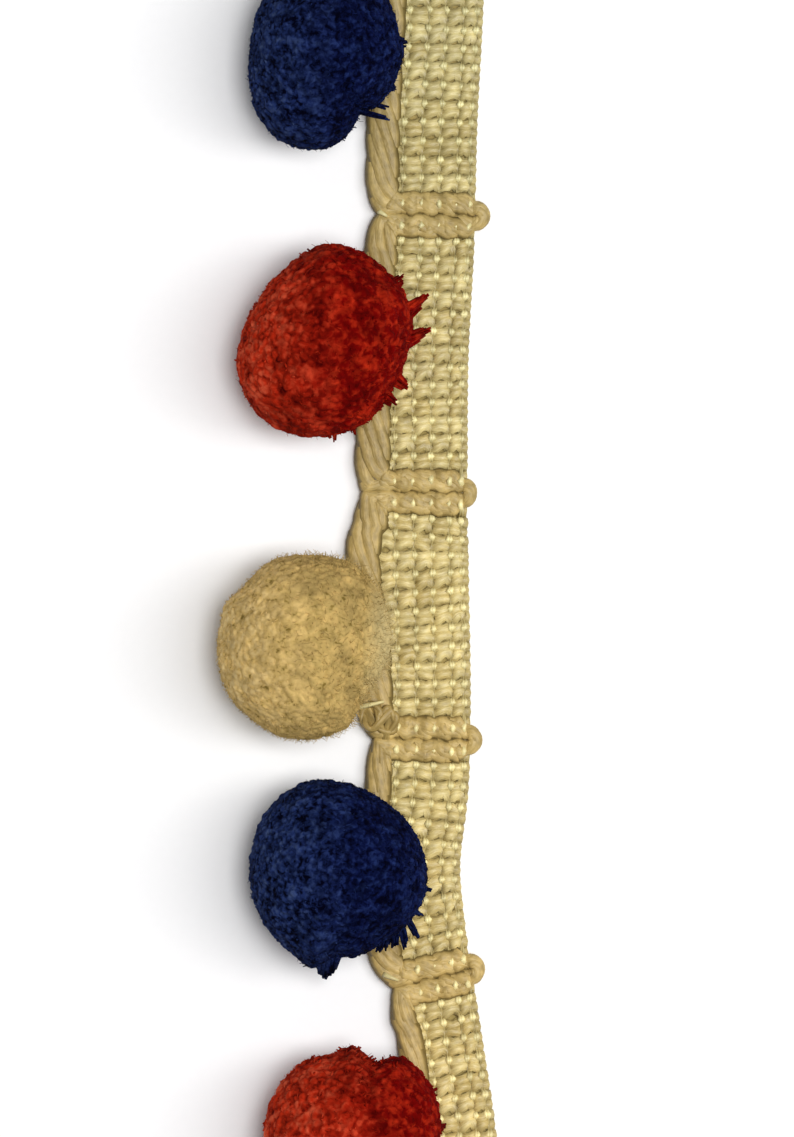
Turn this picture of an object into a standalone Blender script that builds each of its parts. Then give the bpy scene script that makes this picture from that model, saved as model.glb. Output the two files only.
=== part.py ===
"""A cut length of pompom fringe trim, lying on its back.

A woven heading carries a soft edge cord. The cord hangs in scallops down the heading's left edge and, at each
knot, crosses the heading and comes back. Five cut yarn pompoms are tied to the scallops and rest beside the
heading. X runs across the trim, with the pompoms at -X, Y along it and Z up. The origin is on the heading's
flat back, in the middle of its length and width. Lengths are in metres.
"""

import math

import bmesh
import bpy
import numpy as np
from mathutils import Matrix, Vector
from mathutils.bvhtree import BVHTree

MM = 0.001
GAP = 0.3 * MM  # kept between separate pieces

# Heading: the woven ground and its weft rows.
ROW_PITCH = 2.43 * MM
ROW_CREST = 1.5 * MM
ROW_DIP = 1.12 * MM
ROW_SHOULDERS = (0.27, 0.73)  # where along its pitch a row reaches its full height
EDGE_SCALLOP = 0.12 * MM  # how far each row's end swells past the heading's line
EDGE_ROUND = 0.6 * MM
EDGE_HEIGHT = 0.72  # the edge's height as a part of the row's
CHANNEL_FLOOR = 0.5 * MM
CHANNEL_WALL = 0.15 * MM  # run of the channel's sloping side

# Cord: its passes over the heading, its turn at the right edge and its free scallops.
CORD_POINTS = 10  # five strands, each a ridge and a furrow
CORD_FURROW = 0.84  # a furrow's radius as a part of a ridge's
CORD_TWIST = 0.37 / MM  # radians for each metre of its run
BAND_HALF = 3.1 * MM  # half of the two passes' height along the heading
INNER_RADIUS = 0.25 * MM  # inside bend at the heading's corner and at the right turn
PASS_GAP = 0.15 * MM  # from the knot's middle line to each pass
PASS_THICKNESS = 1.2 * MM
PASS_BOTTOM = CHANNEL_FLOOR + GAP
TURN_RADIUS = 1.95 * MM
TURN_INSET = 0.4 * MM  # the turn's centre, inside the heading's right edge
SCALLOP_THICKNESS = 2.0 * MM
SCALLOP_BOTTOM = 0.15 * MM
SCALLOP_STEP = 1.9 * MM
PASS_STEP = 2.4 * MM
CORNER_STEPS = 4
RISE_RATE = 1.6  # how soon in a corner the cord rises to its pass
TURN_STEPS = 6
TURN_TAPER = 1.5  # steps over which a pass narrows to its turn
CORNER_SQUARENESS = 3.0

# Pompoms: a core of fused roots and its locks.
CORE_PART = 0.62  # the core's size as a part of the pompom's
LOCK_SPACING = 0.4 * MM  # from a lock's root to the edge of its cell
LENGTH_SPREAD = 0.045
LEAN = 0.03
POMPOM_HALF_HEIGHT = 11.6 * MM
POMPOM_CENTRE_HEIGHT = 10.5 * MM
FOOT_WAY = (-0.24, 0, -1)  # where the resting lock points, away from the heading
REST_REACH = 1.09  # a lock this near the floor, or past it, ends level on it
TRIM_STEP = 0.01
LOCK_GAP = 0.36 * MM  # kept by the points tested on a lock, which leaves GAP between them
TIP_SAMPLES = 6  # points tested each way across a lock's tip
TEST_DEPTHS = (1.0, 0.94, 0.88, 0.82, 0.76, 0.7)  # and at these parts of its length
TUFT_WIDTH = math.radians(24)

END = 89.2 * MM  # half of the cut length

# The heading's two edges, in millimetres: y along the trim, left and right across it.
HEADING_EDGES = (
    {"y": 89.2, "left": -3.2, "right": 7.1},
    {"y": 76.4, "left": -3.4, "right": 6.9},
    {"y": 60.6, "left": -4.2, "right": 6.1},
    {"y": 44.7, "left": -4.5, "right": 5.7},
    {"y": 28.9, "left": -5.3, "right": 4.9},
    {"y": 17.0, "left": -5.5, "right": 4.8},
    {"y": -2.8, "left": -5.4, "right": 5.1},
    {"y": -14.7, "left": -5.2, "right": 5.3},
    {"y": -27.9, "left": -5.4, "right": 4.9},
    {"y": -38.4, "left": -6.2, "right": 3.8},
    {"y": -46.3, "left": -5.1, "right": 4.5},
    {"y": -55.6, "left": -2.5, "right": 5.9},
    {"y": -63.5, "left": -0.9, "right": 7.1},
    {"y": -72.1, "left": 0.1, "right": 8.4},
    {"y": -80.7, "left": -0.1, "right": 9.2},
    {"y": -89.2, "left": -0.5, "right": 9.6},
)

# Knots along the heading, and the scallop that leaves each one, in millimetres.
KNOTS = (
    {"y": 83.7, "below": 4.5, "end": 4.4},
    {"y": 48.0, "below": 4.4, "end": 4.6},
    {"y": 11.3, "below": 5.8, "end": 4.6},
    {"y": -21.2, "below": 4.2, "end": 4.4},
    {"y": -52.6, "below": 3.9, "end": 4.5},
    {"y": -83.7, "below": 4.4, "end": 4.4},
)

# Pompoms, in millimetres and degrees; the tuft is a longer lock at that bearing in plan.
POMPOMS = (
    {"name": "pompom_navy_1", "wool": "navy_wool", "x": -13.9, "y": 69.2, "half_width": 10.4,
     "half_length": 12.5, "tuft_bearing": -38, "tuft": 1.0},
    {"name": "pompom_rust_1", "wool": "rust_wool", "x": -14.0, "y": 31.4, "half_width": 11.7,
     "half_length": 12.8, "tuft_bearing": 8, "tuft": 1.9},
    {"name": "pompom_gold", "wool": "gold_wool", "x": -16.8, "y": -8.9, "half_width": 11.2,
     "half_length": 12.3, "tuft_bearing": -28, "tuft": 0.8},
    {"name": "pompom_navy_2", "wool": "navy_wool", "x": -12.3, "y": -38.2, "half_width": 11.9,
     "half_length": 12.0, "tuft_bearing": 263, "tuft": 1.8},
    {"name": "pompom_rust_2", "wool": "rust_wool", "x": -10.3, "y": -73.9, "half_width": 11.8,
     "half_length": 12.2, "tuft_bearing": 100, "tuft": 0.6},
)

FINISHES = {
    "heading_thread": {"colour": (0.55, 0.44, 0.20), "roughness": 0.5},
    "cord_thread": {"colour": (0.42, 0.32, 0.13), "roughness": 0.45},
    "navy_wool": {"colour": (0.010, 0.016, 0.063), "roughness": 0.9},
    "rust_wool": {"colour": (0.25, 0.013, 0.005), "roughness": 0.9},
    "gold_wool": {"colour": (0.48, 0.32, 0.14), "roughness": 0.95},
}


def clear_scene():
    """Remove every object of the scene that the script starts in."""
    for obj in list(bpy.data.objects):
        bpy.data.objects.remove(obj, do_unlink=True)


def make_finish(name):
    """Return a Principled material of the named finish."""
    values = FINISHES[name]
    material = bpy.data.materials.new(name)
    material.use_nodes = True
    shader = material.node_tree.nodes["Principled BSDF"]
    shader.inputs["Base Color"].default_value = (*values["colour"], 1)
    shader.inputs["Roughness"].default_value = values["roughness"]
    shader.inputs["Metallic"].default_value = 0
    return material


def add_object(bm, name, finish, collection, smooth_angle):
    """Turn a bmesh into a named object of the collection, with its finish."""
    bmesh.ops.recalc_face_normals(bm, faces=bm.faces)
    mesh = bpy.data.meshes.new(name)
    bm.to_mesh(mesh)
    bm.free()
    mesh.shade_smooth()
    mesh.set_sharp_from_angle(angle=smooth_angle)
    mesh.materials.append(finish)
    obj = bpy.data.objects.new(name, mesh)
    collection.objects.link(obj)
    return obj


def loft(rings):
    """Return a bmesh skinned over closed rings of points of equal count, its two ends capped."""
    bm = bmesh.new()
    loops = [[bm.verts.new(point) for point in ring] for ring in rings]
    count = len(loops[0])
    for first, second in zip(loops, loops[1:]):
        for i in range(count):
            j = (i + 1) % count
            bm.faces.new((first[i], first[j], second[j], second[i]))
    bm.faces.new(loops[0])
    bm.faces.new(loops[-1])
    return bm


class Heading:
    """The heading's course: a smooth middle line and half width, read at any y."""

    def __init__(self):
        ys = np.array([row["y"] for row in HEADING_EDGES]) * MM
        left = np.array([row["left"] for row in HEADING_EDGES]) * MM
        right = np.array([row["right"] for row in HEADING_EDGES]) * MM
        self.ys = ys[::-1]
        self.middle = ((left + right) / 2)[::-1]
        self.half = ((right - left) / 2)[::-1]

    def smooth(self, values, y):
        """Read a column at y along a cubic through its rows."""
        slopes = np.gradient(values, self.ys)
        i = int(np.clip(np.searchsorted(self.ys, y) - 1, 0, len(self.ys) - 2))
        run = self.ys[i + 1] - self.ys[i]
        t = min(max((y - self.ys[i]) / run, 0.0), 1.0)
        return (
            values[i] * (1 + 2 * t) * (1 - t) ** 2
            + slopes[i] * run * t * (1 - t) ** 2
            + values[i + 1] * t * t * (3 - 2 * t)
            + slopes[i + 1] * run * t * t * (t - 1)
        )

    def half_width(self, y):
        """Return half of the heading's width at y."""
        return self.smooth(self.half, y)

    def place(self, y, across, z=0.0):
        """Return the point that lies across the middle line at y, square to the line."""
        step = 0.5 * MM
        slope = (self.smooth(self.middle, y + step) - self.smooth(self.middle, y - step)) / (2 * step)
        square = Vector((1, -slope, 0)).normalized()
        return Vector((self.smooth(self.middle, y), y, z)) + square * across


def rows_between(top, bottom):
    """Yield (y, height) for the weft rows from top down to bottom, starting and ending in a dip."""
    count = max(1, round((top - bottom) / ROW_PITCH))
    pitch = (top - bottom) / count
    for row in range(count):
        start = top - row * pitch
        yield start, ROW_DIP
        for part in ROW_SHOULDERS:
            yield start - part * pitch, ROW_CREST
    yield bottom, ROW_DIP


def heading_sections():
    """Yield (y, height) along the whole heading, with a channel for the cord at each knot."""
    channel_half = BAND_HALF - INNER_RADIUS + GAP
    top = END
    for knot in KNOTS:
        y = knot["y"] * MM
        yield from rows_between(top, y + channel_half + CHANNEL_WALL)
        yield y + channel_half, CHANNEL_FLOOR
        yield y - channel_half, CHANNEL_FLOOR
        top = y - channel_half - CHANNEL_WALL
    yield from rows_between(top, -END)


def build_heading(heading, collection):
    """Build the heading: one woven sheet, flat behind, with its weft rows raised."""
    swell = {ROW_CREST: EDGE_SCALLOP, ROW_DIP: 0.0, CHANNEL_FLOOR: 0.0}
    rings = []
    for y, height in heading_sections():
        half = heading.half_width(y) + swell[height]
        shoulder = half - EDGE_ROUND
        profile = (
            (-half, 0), (half, 0), (half, height * EDGE_HEIGHT),
            (shoulder, height), (-shoulder, height), (-half, height * EDGE_HEIGHT),
        )
        rings.append([heading.place(y, across, z) for across, z in profile])
    return add_object(
        loft(rings), "heading_tape", make_finish("heading_thread"), collection, math.radians(40)
    )


def corner_reach(angle, width, height):
    """Return how far a rounded corner of this width and height reaches at an angle from level."""
    level = abs(math.cos(angle)) / width
    upright = abs(math.sin(angle)) / height
    return (level**CORNER_SQUARENESS + upright**CORNER_SQUARENESS) ** (-1 / CORNER_SQUARENESS)


def blend(start, end, part):
    """Ease from start to end."""
    return start + (end - start) * part * part * (3 - 2 * part)


class CordRun:
    """Collects the cord's stations as it is laid, each with its two sides in plan and its thickness.

    The sides are (y, across) on the heading, named for the way that the cord is laid, top to bottom.
    """

    def __init__(self, heading):
        self.heading = heading
        self.stations = []

    def add(self, left, right, in_pass):
        """Add a station; in_pass runs from 0 in a scallop to 1 in a pass over the heading."""
        thickness = blend(SCALLOP_THICKNESS, PASS_THICKNESS, in_pass)
        bottom = blend(SCALLOP_BOTTOM, PASS_BOTTOM, in_pass)
        self.stations.append((self.heading.place(*left), self.heading.place(*right), thickness, bottom))

    def edge(self, y):
        """Return where the cord's inside bend turns, just clear of the heading's left edge."""
        return -self.heading.half_width(y) - EDGE_SCALLOP - GAP + INNER_RADIUS

    def scallop(self, top, bottom, top_width, bottom_width):
        """Lay the cord freely down the left edge."""
        count = max(1, round((top - bottom) / SCALLOP_STEP))
        for i in range(1, count):
            part = i / count
            y = top + (bottom - top) * part
            edge = self.edge(y)
            width = blend(top_width, bottom_width, part)
            self.add((y, edge - INNER_RADIUS), (y, edge - width), 0)

    def corner(self, y, width, inward):
        """Bend the cord round the heading's corner at y, into a pass (inward 1) or out of one (-1)."""
        edge = self.edge(y)
        height = BAND_HALF - PASS_GAP
        for i in range(CORNER_STEPS + 1):
            into = i / CORNER_STEPS if inward > 0 else 1 - i / CORNER_STEPS
            angle = into * math.pi / 2
            reach = corner_reach(angle, width, height)
            down, out = inward * math.sin(angle), math.cos(angle)
            near = (y - INNER_RADIUS * down, edge - INNER_RADIUS * out)
            far = (y - reach * down, edge - reach * out)
            self.add(near, far, min(1, RISE_RATE * into))

    def crossing(self, y):
        """Cross the heading, turn at its right edge and come back."""
        half = self.heading.half_width(y)
        start = self.edge(y)
        centre = half - TURN_INSET
        steps = round((centre - start) / PASS_STEP)
        for way in (1, -1):
            for i in range(1, steps):
                part = i / steps if way > 0 else 1 - i / steps
                across = start + (centre - start) * part
                taper = max(0, part * steps - steps + TURN_TAPER) / TURN_TAPER
                far = blend(BAND_HALF - INNER_RADIUS, TURN_RADIUS, taper)
                near = blend(PASS_GAP, INNER_RADIUS, taper)
                self.add((y + way * far, across), (y + way * near, across), 1)
            if way > 0:
                self.turn(y, centre)

    def turn(self, y, centre):
        """Turn back round a point near the heading's right edge."""
        for i in range(TURN_STEPS + 1):
            angle = math.pi / 2 - math.pi * i / TURN_STEPS
            up, out = math.sin(angle), math.cos(angle)
            self.add(
                (y + TURN_RADIUS * up, centre + TURN_RADIUS * out),
                (y + INNER_RADIUS * up, centre + INNER_RADIUS * out),
                1,
            )

    def rings(self):
        """Return the cord's rings: a flattened round of ridges and furrows that turns as it runs."""
        rings = []
        turn = 0.0
        last = None
        for left, right, thickness, bottom in self.stations:
            middle = (left + right) / 2
            if last is not None:
                turn += (middle - last).length * CORD_TWIST
            last = middle
            ring = []
            for i in range(CORD_POINTS):
                angle = turn + 2 * math.pi * i / CORD_POINTS
                radius = CORD_FURROW if i % 2 else 1.0
                sideways = (right - left) / 2 * radius * math.cos(angle)
                height = bottom + thickness / 2 * (1 + radius * math.sin(angle))
                ring.append(middle + sideways + Vector((0, 0, height)))
            rings.append(ring)
        return rings


def build_cord(heading, collection):
    """Build the edge cord in one run from the top cut to the bottom cut."""
    run = CordRun(heading)
    top_width = KNOTS[0]["end"] * MM
    run.add((END, run.edge(END) - INNER_RADIUS), (END, run.edge(END) - top_width), 0)
    for index, knot in enumerate(KNOTS):
        y = knot["y"] * MM
        above = KNOTS[index - 1]["end"] * MM if index else top_width
        run.corner(y + BAND_HALF, above, 1)
        run.crossing(y)
        below = knot["below"] * MM
        run.corner(y - BAND_HALF, below, -1)
        if index + 1 < len(KNOTS):
            next_top = KNOTS[index + 1]["y"] * MM + BAND_HALF
            run.scallop(y - BAND_HALF, next_top, below, knot["end"] * MM)
    run.add((-END, run.edge(-END) - INNER_RADIUS), (-END, run.edge(-END) - below), 0)
    return add_object(loft(run.rings()), "edge_cord", make_finish("cord_thread"), collection, math.radians(60))


def lock_faces(bm, core):
    """Shape the bmesh into the pompom's core and return its sixty raised lock roots."""
    for vert in bm.verts:
        vert.co = Vector(direction * size for direction, size in zip(vert.co.normalized(), core))
    cells = list(bm.faces)
    bmesh.ops.inset_individual(bm, faces=cells, thickness=LOCK_SPACING, use_even_offset=True)
    return bmesh.ops.extrude_discrete_faces(bm, faces=cells)["faces"]


def sixty_cells():
    """Return a bmesh ball of sixty four-sided cells."""
    bm = bmesh.new()
    bmesh.ops.create_icosphere(bm, subdivisions=1, radius=1)
    mesh = bpy.data.meshes.new("cells")
    bm.to_mesh(mesh)
    bm.free()
    guide = bpy.data.objects.new("cells", mesh)
    bpy.context.scene.collection.objects.link(guide)
    subdivision = guide.modifiers.new("Subdivision", "SUBSURF")
    subdivision.levels = subdivision.render_levels = 1
    cells = bpy.data.meshes.new_from_object(guide.evaluated_get(bpy.context.evaluated_depsgraph_get()))
    bpy.data.objects.remove(guide, do_unlink=True)
    bm = bmesh.new()
    bm.from_mesh(cells)
    bm.faces.ensure_lookup_table()
    foot = bm.faces[0].calc_center_median()
    bmesh.ops.rotate(bm, verts=bm.verts, matrix=foot.rotation_difference(Vector((0, 0, -1))).to_matrix())
    return bm


def at_rest(way, height):
    """Return a way from the pompom's centre, ended on the floor if it comes near it."""
    reach = height / -way.z if way.z < 0 else math.inf
    return way * reach if reach < REST_REACH else way


def clears(point, carriers):
    """Tell whether a point keeps the gap to the cord and the heading."""
    for tree in carriers:
        nearest, normal, _, distance = tree.find_nearest(point)
        inside = distance < SCALLOP_THICKNESS / 2 and normal.dot(point - nearest) < 0
        if distance < LOCK_GAP or inside:
            return False
    return True


def test_points(tips, centre):
    """Return points spread over a lock's outer end, given the four corners of its tip."""
    parts = [i / (TIP_SAMPLES - 1) for i in range(TIP_SAMPLES)]
    a, b, c, d = tips
    spread = [a.lerp(b, u).lerp(d.lerp(c, u), v) for u in parts for v in parts]
    return [centre.lerp(point, depth) for point in spread for depth in TEST_DEPTHS]


def trimmed(ways, centre, carriers):
    """Return a lock's four tip corners, cut back in small steps until they clear what lies below."""
    part = 1.0
    while True:
        tips = [centre + at_rest(way, centre.z) * part for way in ways]
        if all(clears(point, carriers) for point in test_points(tips, centre)):
            return tips
        part -= TRIM_STEP


def build_pompom(row, carriers, collection, rng):
    """Build one pompom: sixty locks on a core, level where they rest and short over the cord and heading."""
    centre = Vector((row["x"] * MM, row["y"] * MM, POMPOM_CENTRE_HEIGHT))
    size = Vector((row["half_width"] * MM, row["half_length"] * MM, POMPOM_HALF_HEIGHT))
    bm = sixty_cells()
    bmesh.ops.rotate(bm, verts=bm.verts, matrix=Matrix.Rotation(rng.uniform(0, 2 * math.pi), 3, "Z"))
    foot_tilt = Vector((0, 0, -1)).rotation_difference(Vector(FOOT_WAY))
    bmesh.ops.rotate(bm, verts=bm.verts, matrix=foot_tilt.to_matrix())
    bearing = math.radians(row["tuft_bearing"])
    tuft = Vector((math.cos(bearing), math.sin(bearing), -0.1)).normalized()
    for face in lock_faces(bm, size * CORE_PART):
        length = 1 + rng.uniform(-LENGTH_SPREAD, LENGTH_SPREAD)
        lean = Vector(rng.uniform(-LEAN, LEAN, 3))
        middle = face.calc_center_median()
        if middle.angle(tuft) < TUFT_WIDTH:
            length += row["tuft"] / row["half_length"]
        ways = []
        for vert in face.verts:
            scaled = Vector(value / whole for value, whole in zip(vert.co, size)).normalized() + lean
            ways.append(Vector(value * whole for value, whole in zip(scaled, size)) * length)
        for vert, tip in zip(face.verts, trimmed(ways, centre, carriers)):
            vert.co = tip - centre
    bmesh.ops.translate(bm, verts=bm.verts, vec=centre)
    return add_object(bm, row["name"], make_finish(row["wool"]), collection, math.radians(30))


def main():
    """Build the trim."""
    clear_scene()
    collection = bpy.data.collections.new("pompom_fringe_trim")
    bpy.context.scene.collection.children.link(collection)
    heading = Heading()
    pieces = (build_heading(heading, collection), build_cord(heading, collection))
    bpy.context.view_layer.update()
    graph = bpy.context.evaluated_depsgraph_get()
    carriers = [BVHTree.FromObject(piece, graph) for piece in pieces]
    rng = np.random.default_rng(7)
    for row in POMPOMS:
        build_pompom(row, carriers, collection, rng)


main()
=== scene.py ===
"""Dress the pompom fringe trim: a woven heading, a twisted edge cord and five cut yarn pompoms.

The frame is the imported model's: X runs across the trim with the pompoms at -X, Y along it and Z up, and the
origin is on the heading's flat back at mid length and width. Lengths are in metres.
"""

import logging
import math
from dataclasses import dataclass, field
from enum import Enum
from typing import ClassVar

import bmesh
import bpy
import numpy as np
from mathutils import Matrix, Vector
from mathutils.bvhtree import BVHTree
from mathutils.kdtree import KDTree


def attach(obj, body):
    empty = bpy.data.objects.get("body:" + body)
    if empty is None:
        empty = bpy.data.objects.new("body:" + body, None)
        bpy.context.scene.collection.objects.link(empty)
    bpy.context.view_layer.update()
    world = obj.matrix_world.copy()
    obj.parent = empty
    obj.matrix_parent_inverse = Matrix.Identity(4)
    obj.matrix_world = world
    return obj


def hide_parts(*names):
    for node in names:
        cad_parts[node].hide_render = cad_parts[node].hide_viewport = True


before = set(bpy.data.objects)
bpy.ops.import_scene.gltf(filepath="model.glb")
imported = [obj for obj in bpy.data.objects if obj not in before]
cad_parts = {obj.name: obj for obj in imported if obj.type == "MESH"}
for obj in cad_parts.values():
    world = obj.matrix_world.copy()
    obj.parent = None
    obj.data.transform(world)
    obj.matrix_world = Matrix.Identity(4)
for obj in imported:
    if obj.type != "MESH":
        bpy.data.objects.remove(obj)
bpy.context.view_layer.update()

LOG = logging.getLogger("pompom_fringe_trim")
MM = 0.001
BODY = "root"
HEADING_NODE = "heading_tape"
CORD_NODE = "edge_cord"

Colour = tuple[float, float, float]

# The heading's two edges: y along the trim, left and right across it.
HEADING_EDGES = np.array([
    (-89.2, -0.5, 9.6), (-80.7, -0.1, 9.2), (-72.1, 0.1, 8.4), (-63.5, -0.7, 7.1),
    (-55.6, -2.2, 5.9), (-46.3, -5.0, 4.5), (-38.4, -6.2, 3.8), (-27.9, -5.4, 4.9),
    (-14.7, -5.2, 5.2), (-7.0, -5.7, 5.1), (-2.8, -6.3, 5.0), (3.5, -6.8, 4.9), (9.0, -5.7, 4.8),
    (17.0, -5.5, 4.8), (28.9, -5.3, 4.9),
    (44.7, -4.5, 5.7), (60.6, -4.2, 6.1), (76.4, -3.4, 6.9), (89.2, -3.2, 7.1),
]) * MM


@dataclass(frozen=True)
class Knot:
    """A place where the edge cord crosses the heading, with the scallop that leaves it.

    Args:
        y: Middle of the knot along the heading.
        below: Width of the scallop where it leaves the knot.
        end: Width of the same scallop where it reaches the next knot.
        crease: How far outside the heading the two scallops meet.
        picot: How far its turn stands out past the right edge.
    """

    y: float
    below: float
    end: float
    crease: float
    picot: float


KNOTS = (
    Knot(83.7 * MM, 4.5 * MM, 4.4 * MM, 2.6 * MM, 1.7 * MM),
    Knot(48.2 * MM, 4.4 * MM, 4.7 * MM, 2.6 * MM, 2.1 * MM),
    Knot(11.5 * MM, 4.6 * MM, 4.6 * MM, 3.6 * MM, 1.4 * MM),
    Knot(-21.2 * MM, 3.4 * MM, 4.5 * MM, 2.5 * MM, 1.7 * MM),
    Knot(-52.6 * MM, 3.4 * MM, 4.4 * MM, 1.9 * MM, 1.9 * MM),
    Knot(-83.7 * MM, 4.4 * MM, 4.4 * MM, 2.6 * MM, 1.7 * MM),
)
CUT_END = 89.2 * MM  # half of the cut length
BAND_HALF = 3.1 * MM  # half of the height of a knot's two passes
CHANNEL_HALF = BAND_HALF - 0.15 * MM  # half of the stretch at a knot that has no weft rows
CHAINS = (0.80 * MM, 2.35 * MM, 4.75 * MM, 7.10 * MM, 9.60 * MM)  # from the heading's right edge
EDGE_ROOM = 0.5 * MM  # a chain this near the left edge is left out
STRAYS = (  # both ends of each loose bright thread over the cord, in millimetres
    ((-9.9, -17.0, 2.6), (-6.2, -16.2, 3.2)),
    ((-6.9, 48.7, 1.8), (-5.8, 48.0, 2.0)),
    ((-6.3, -52.3, 1.9), (-4.3, -53.1, 2.2)),
)


class Wool(Enum):
    """The three wools, named as the record's material slots."""

    NAVY = "navy_wool"
    RUST = "rust_wool"
    GOLD = "gold_wool"


def blend(start: np.ndarray, end: np.ndarray, part: np.ndarray) -> np.ndarray:
    """Ease from start to end.

    Args:
        start: Value at part 0.
        end: Value at part 1.
        part: How far along, from 0 to 1.

    Returns:
        The eased value.
    """
    return start + (end - start) * part * part * (3 - 2 * part)


def unit(vectors: np.ndarray) -> np.ndarray:
    """Return the vectors at length one."""
    return vectors / np.maximum(np.linalg.norm(vectors, axis=-1, keepdims=True), 1e-12)


# ---------------------------------------------------------------- node trees


class NodeSheet:
    """Short ways to place and join the nodes of one tree."""

    def __init__(self, tree: bpy.types.NodeTree) -> None:
        """Start on a tree.

        Args:
            tree: The material's or the group's node tree.
        """
        self.tree = tree

    def add(self, kind: str, inputs: dict | None = None, **settings: object) -> bpy.types.Node:
        """Place a node.

        Args:
            kind: The node's type name.
            inputs: Values or sockets for its inputs, by name or number.
            settings: Properties of the node itself.

        Returns:
            The new node.
        """
        node = self.tree.nodes.new(kind)
        for name, value in settings.items():
            setattr(node, name, value)
        for key, value in (inputs or {}).items():
            if isinstance(value, bpy.types.NodeSocket):
                self.tree.links.new(value, node.inputs[key])
            else:
                node.inputs[key].default_value = value
        return node

    def math(self, operation: str, *values: object) -> bpy.types.NodeSocket:
        """Return the result of a Math node over up to three values or sockets."""
        node = self.add("ShaderNodeMath", dict(enumerate(values)), operation=operation)
        return node.outputs[0]

    def spread(self, value: object, low: float, high: float) -> bpy.types.NodeSocket:
        """Return a value mapped from low..high onto 0..1, held inside it."""
        node = self.add("ShaderNodeMapRange", {"Value": value, "From Min": low, "From Max": high})
        return node.outputs["Result"]

    def mix(self, part: object, first: object, second: object, way: str = "MIX") -> bpy.types.NodeSocket:
        """Mix two colours.

        Args:
            part: How much of the second is used.
            first: Colour or socket at part 0.
            second: Colour or socket at part 1.
            way: The mix node's blend type.

        Returns:
            The mixed colour's socket.
        """
        node = self.add("ShaderNodeMix", data_type="RGBA", blend_type=way, clamp_factor=True)
        for key, value in ((0, part), (6, first), (7, second)):
            if isinstance(value, bpy.types.NodeSocket):
                self.tree.links.new(value, node.inputs[key])
            elif key:
                node.inputs[key].default_value = (*value, 1)
            else:
                node.inputs[key].default_value = value
        return node.outputs[2]

    def attribute(self, name: str) -> bpy.types.Node:
        """Return a node that reads one of the piece's own attributes."""
        return self.add("ShaderNodeAttribute", attribute_name=name, attribute_type="GEOMETRY")

    def noise(self, vector: object, scale: object, detail: float, **more: float) -> bpy.types.NodeSocket:
        """Return the value of a noise texture read at a vector."""
        inputs = {"Vector": vector, "Scale": scale, "Detail": detail, **more}
        return self.add("ShaderNodeTexNoise", inputs).outputs["Fac"]

    def dress(
        self,
        shader: bpy.types.Node,
        colour: bpy.types.NodeSocket,
        height: bpy.types.NodeSocket,
        strength: float,
        depth: float,
        roughness: float,
    ) -> None:
        """Give a shader its colour, relief and roughness.

        Args:
            shader: The Principled shader.
            colour: Its colour.
            height: Height of its relief.
            strength: How strongly the relief shows.
            depth: Of the relief.
            roughness: Of the shader.
        """
        bump = self.add("ShaderNodeBump", {"Height": height, "Strength": strength, "Distance": depth})
        self.tree.links.new(colour, shader.inputs["Base Color"])
        self.tree.links.new(bump.outputs["Normal"], shader.inputs["Normal"])
        shader.inputs["Roughness"].default_value = roughness


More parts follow.
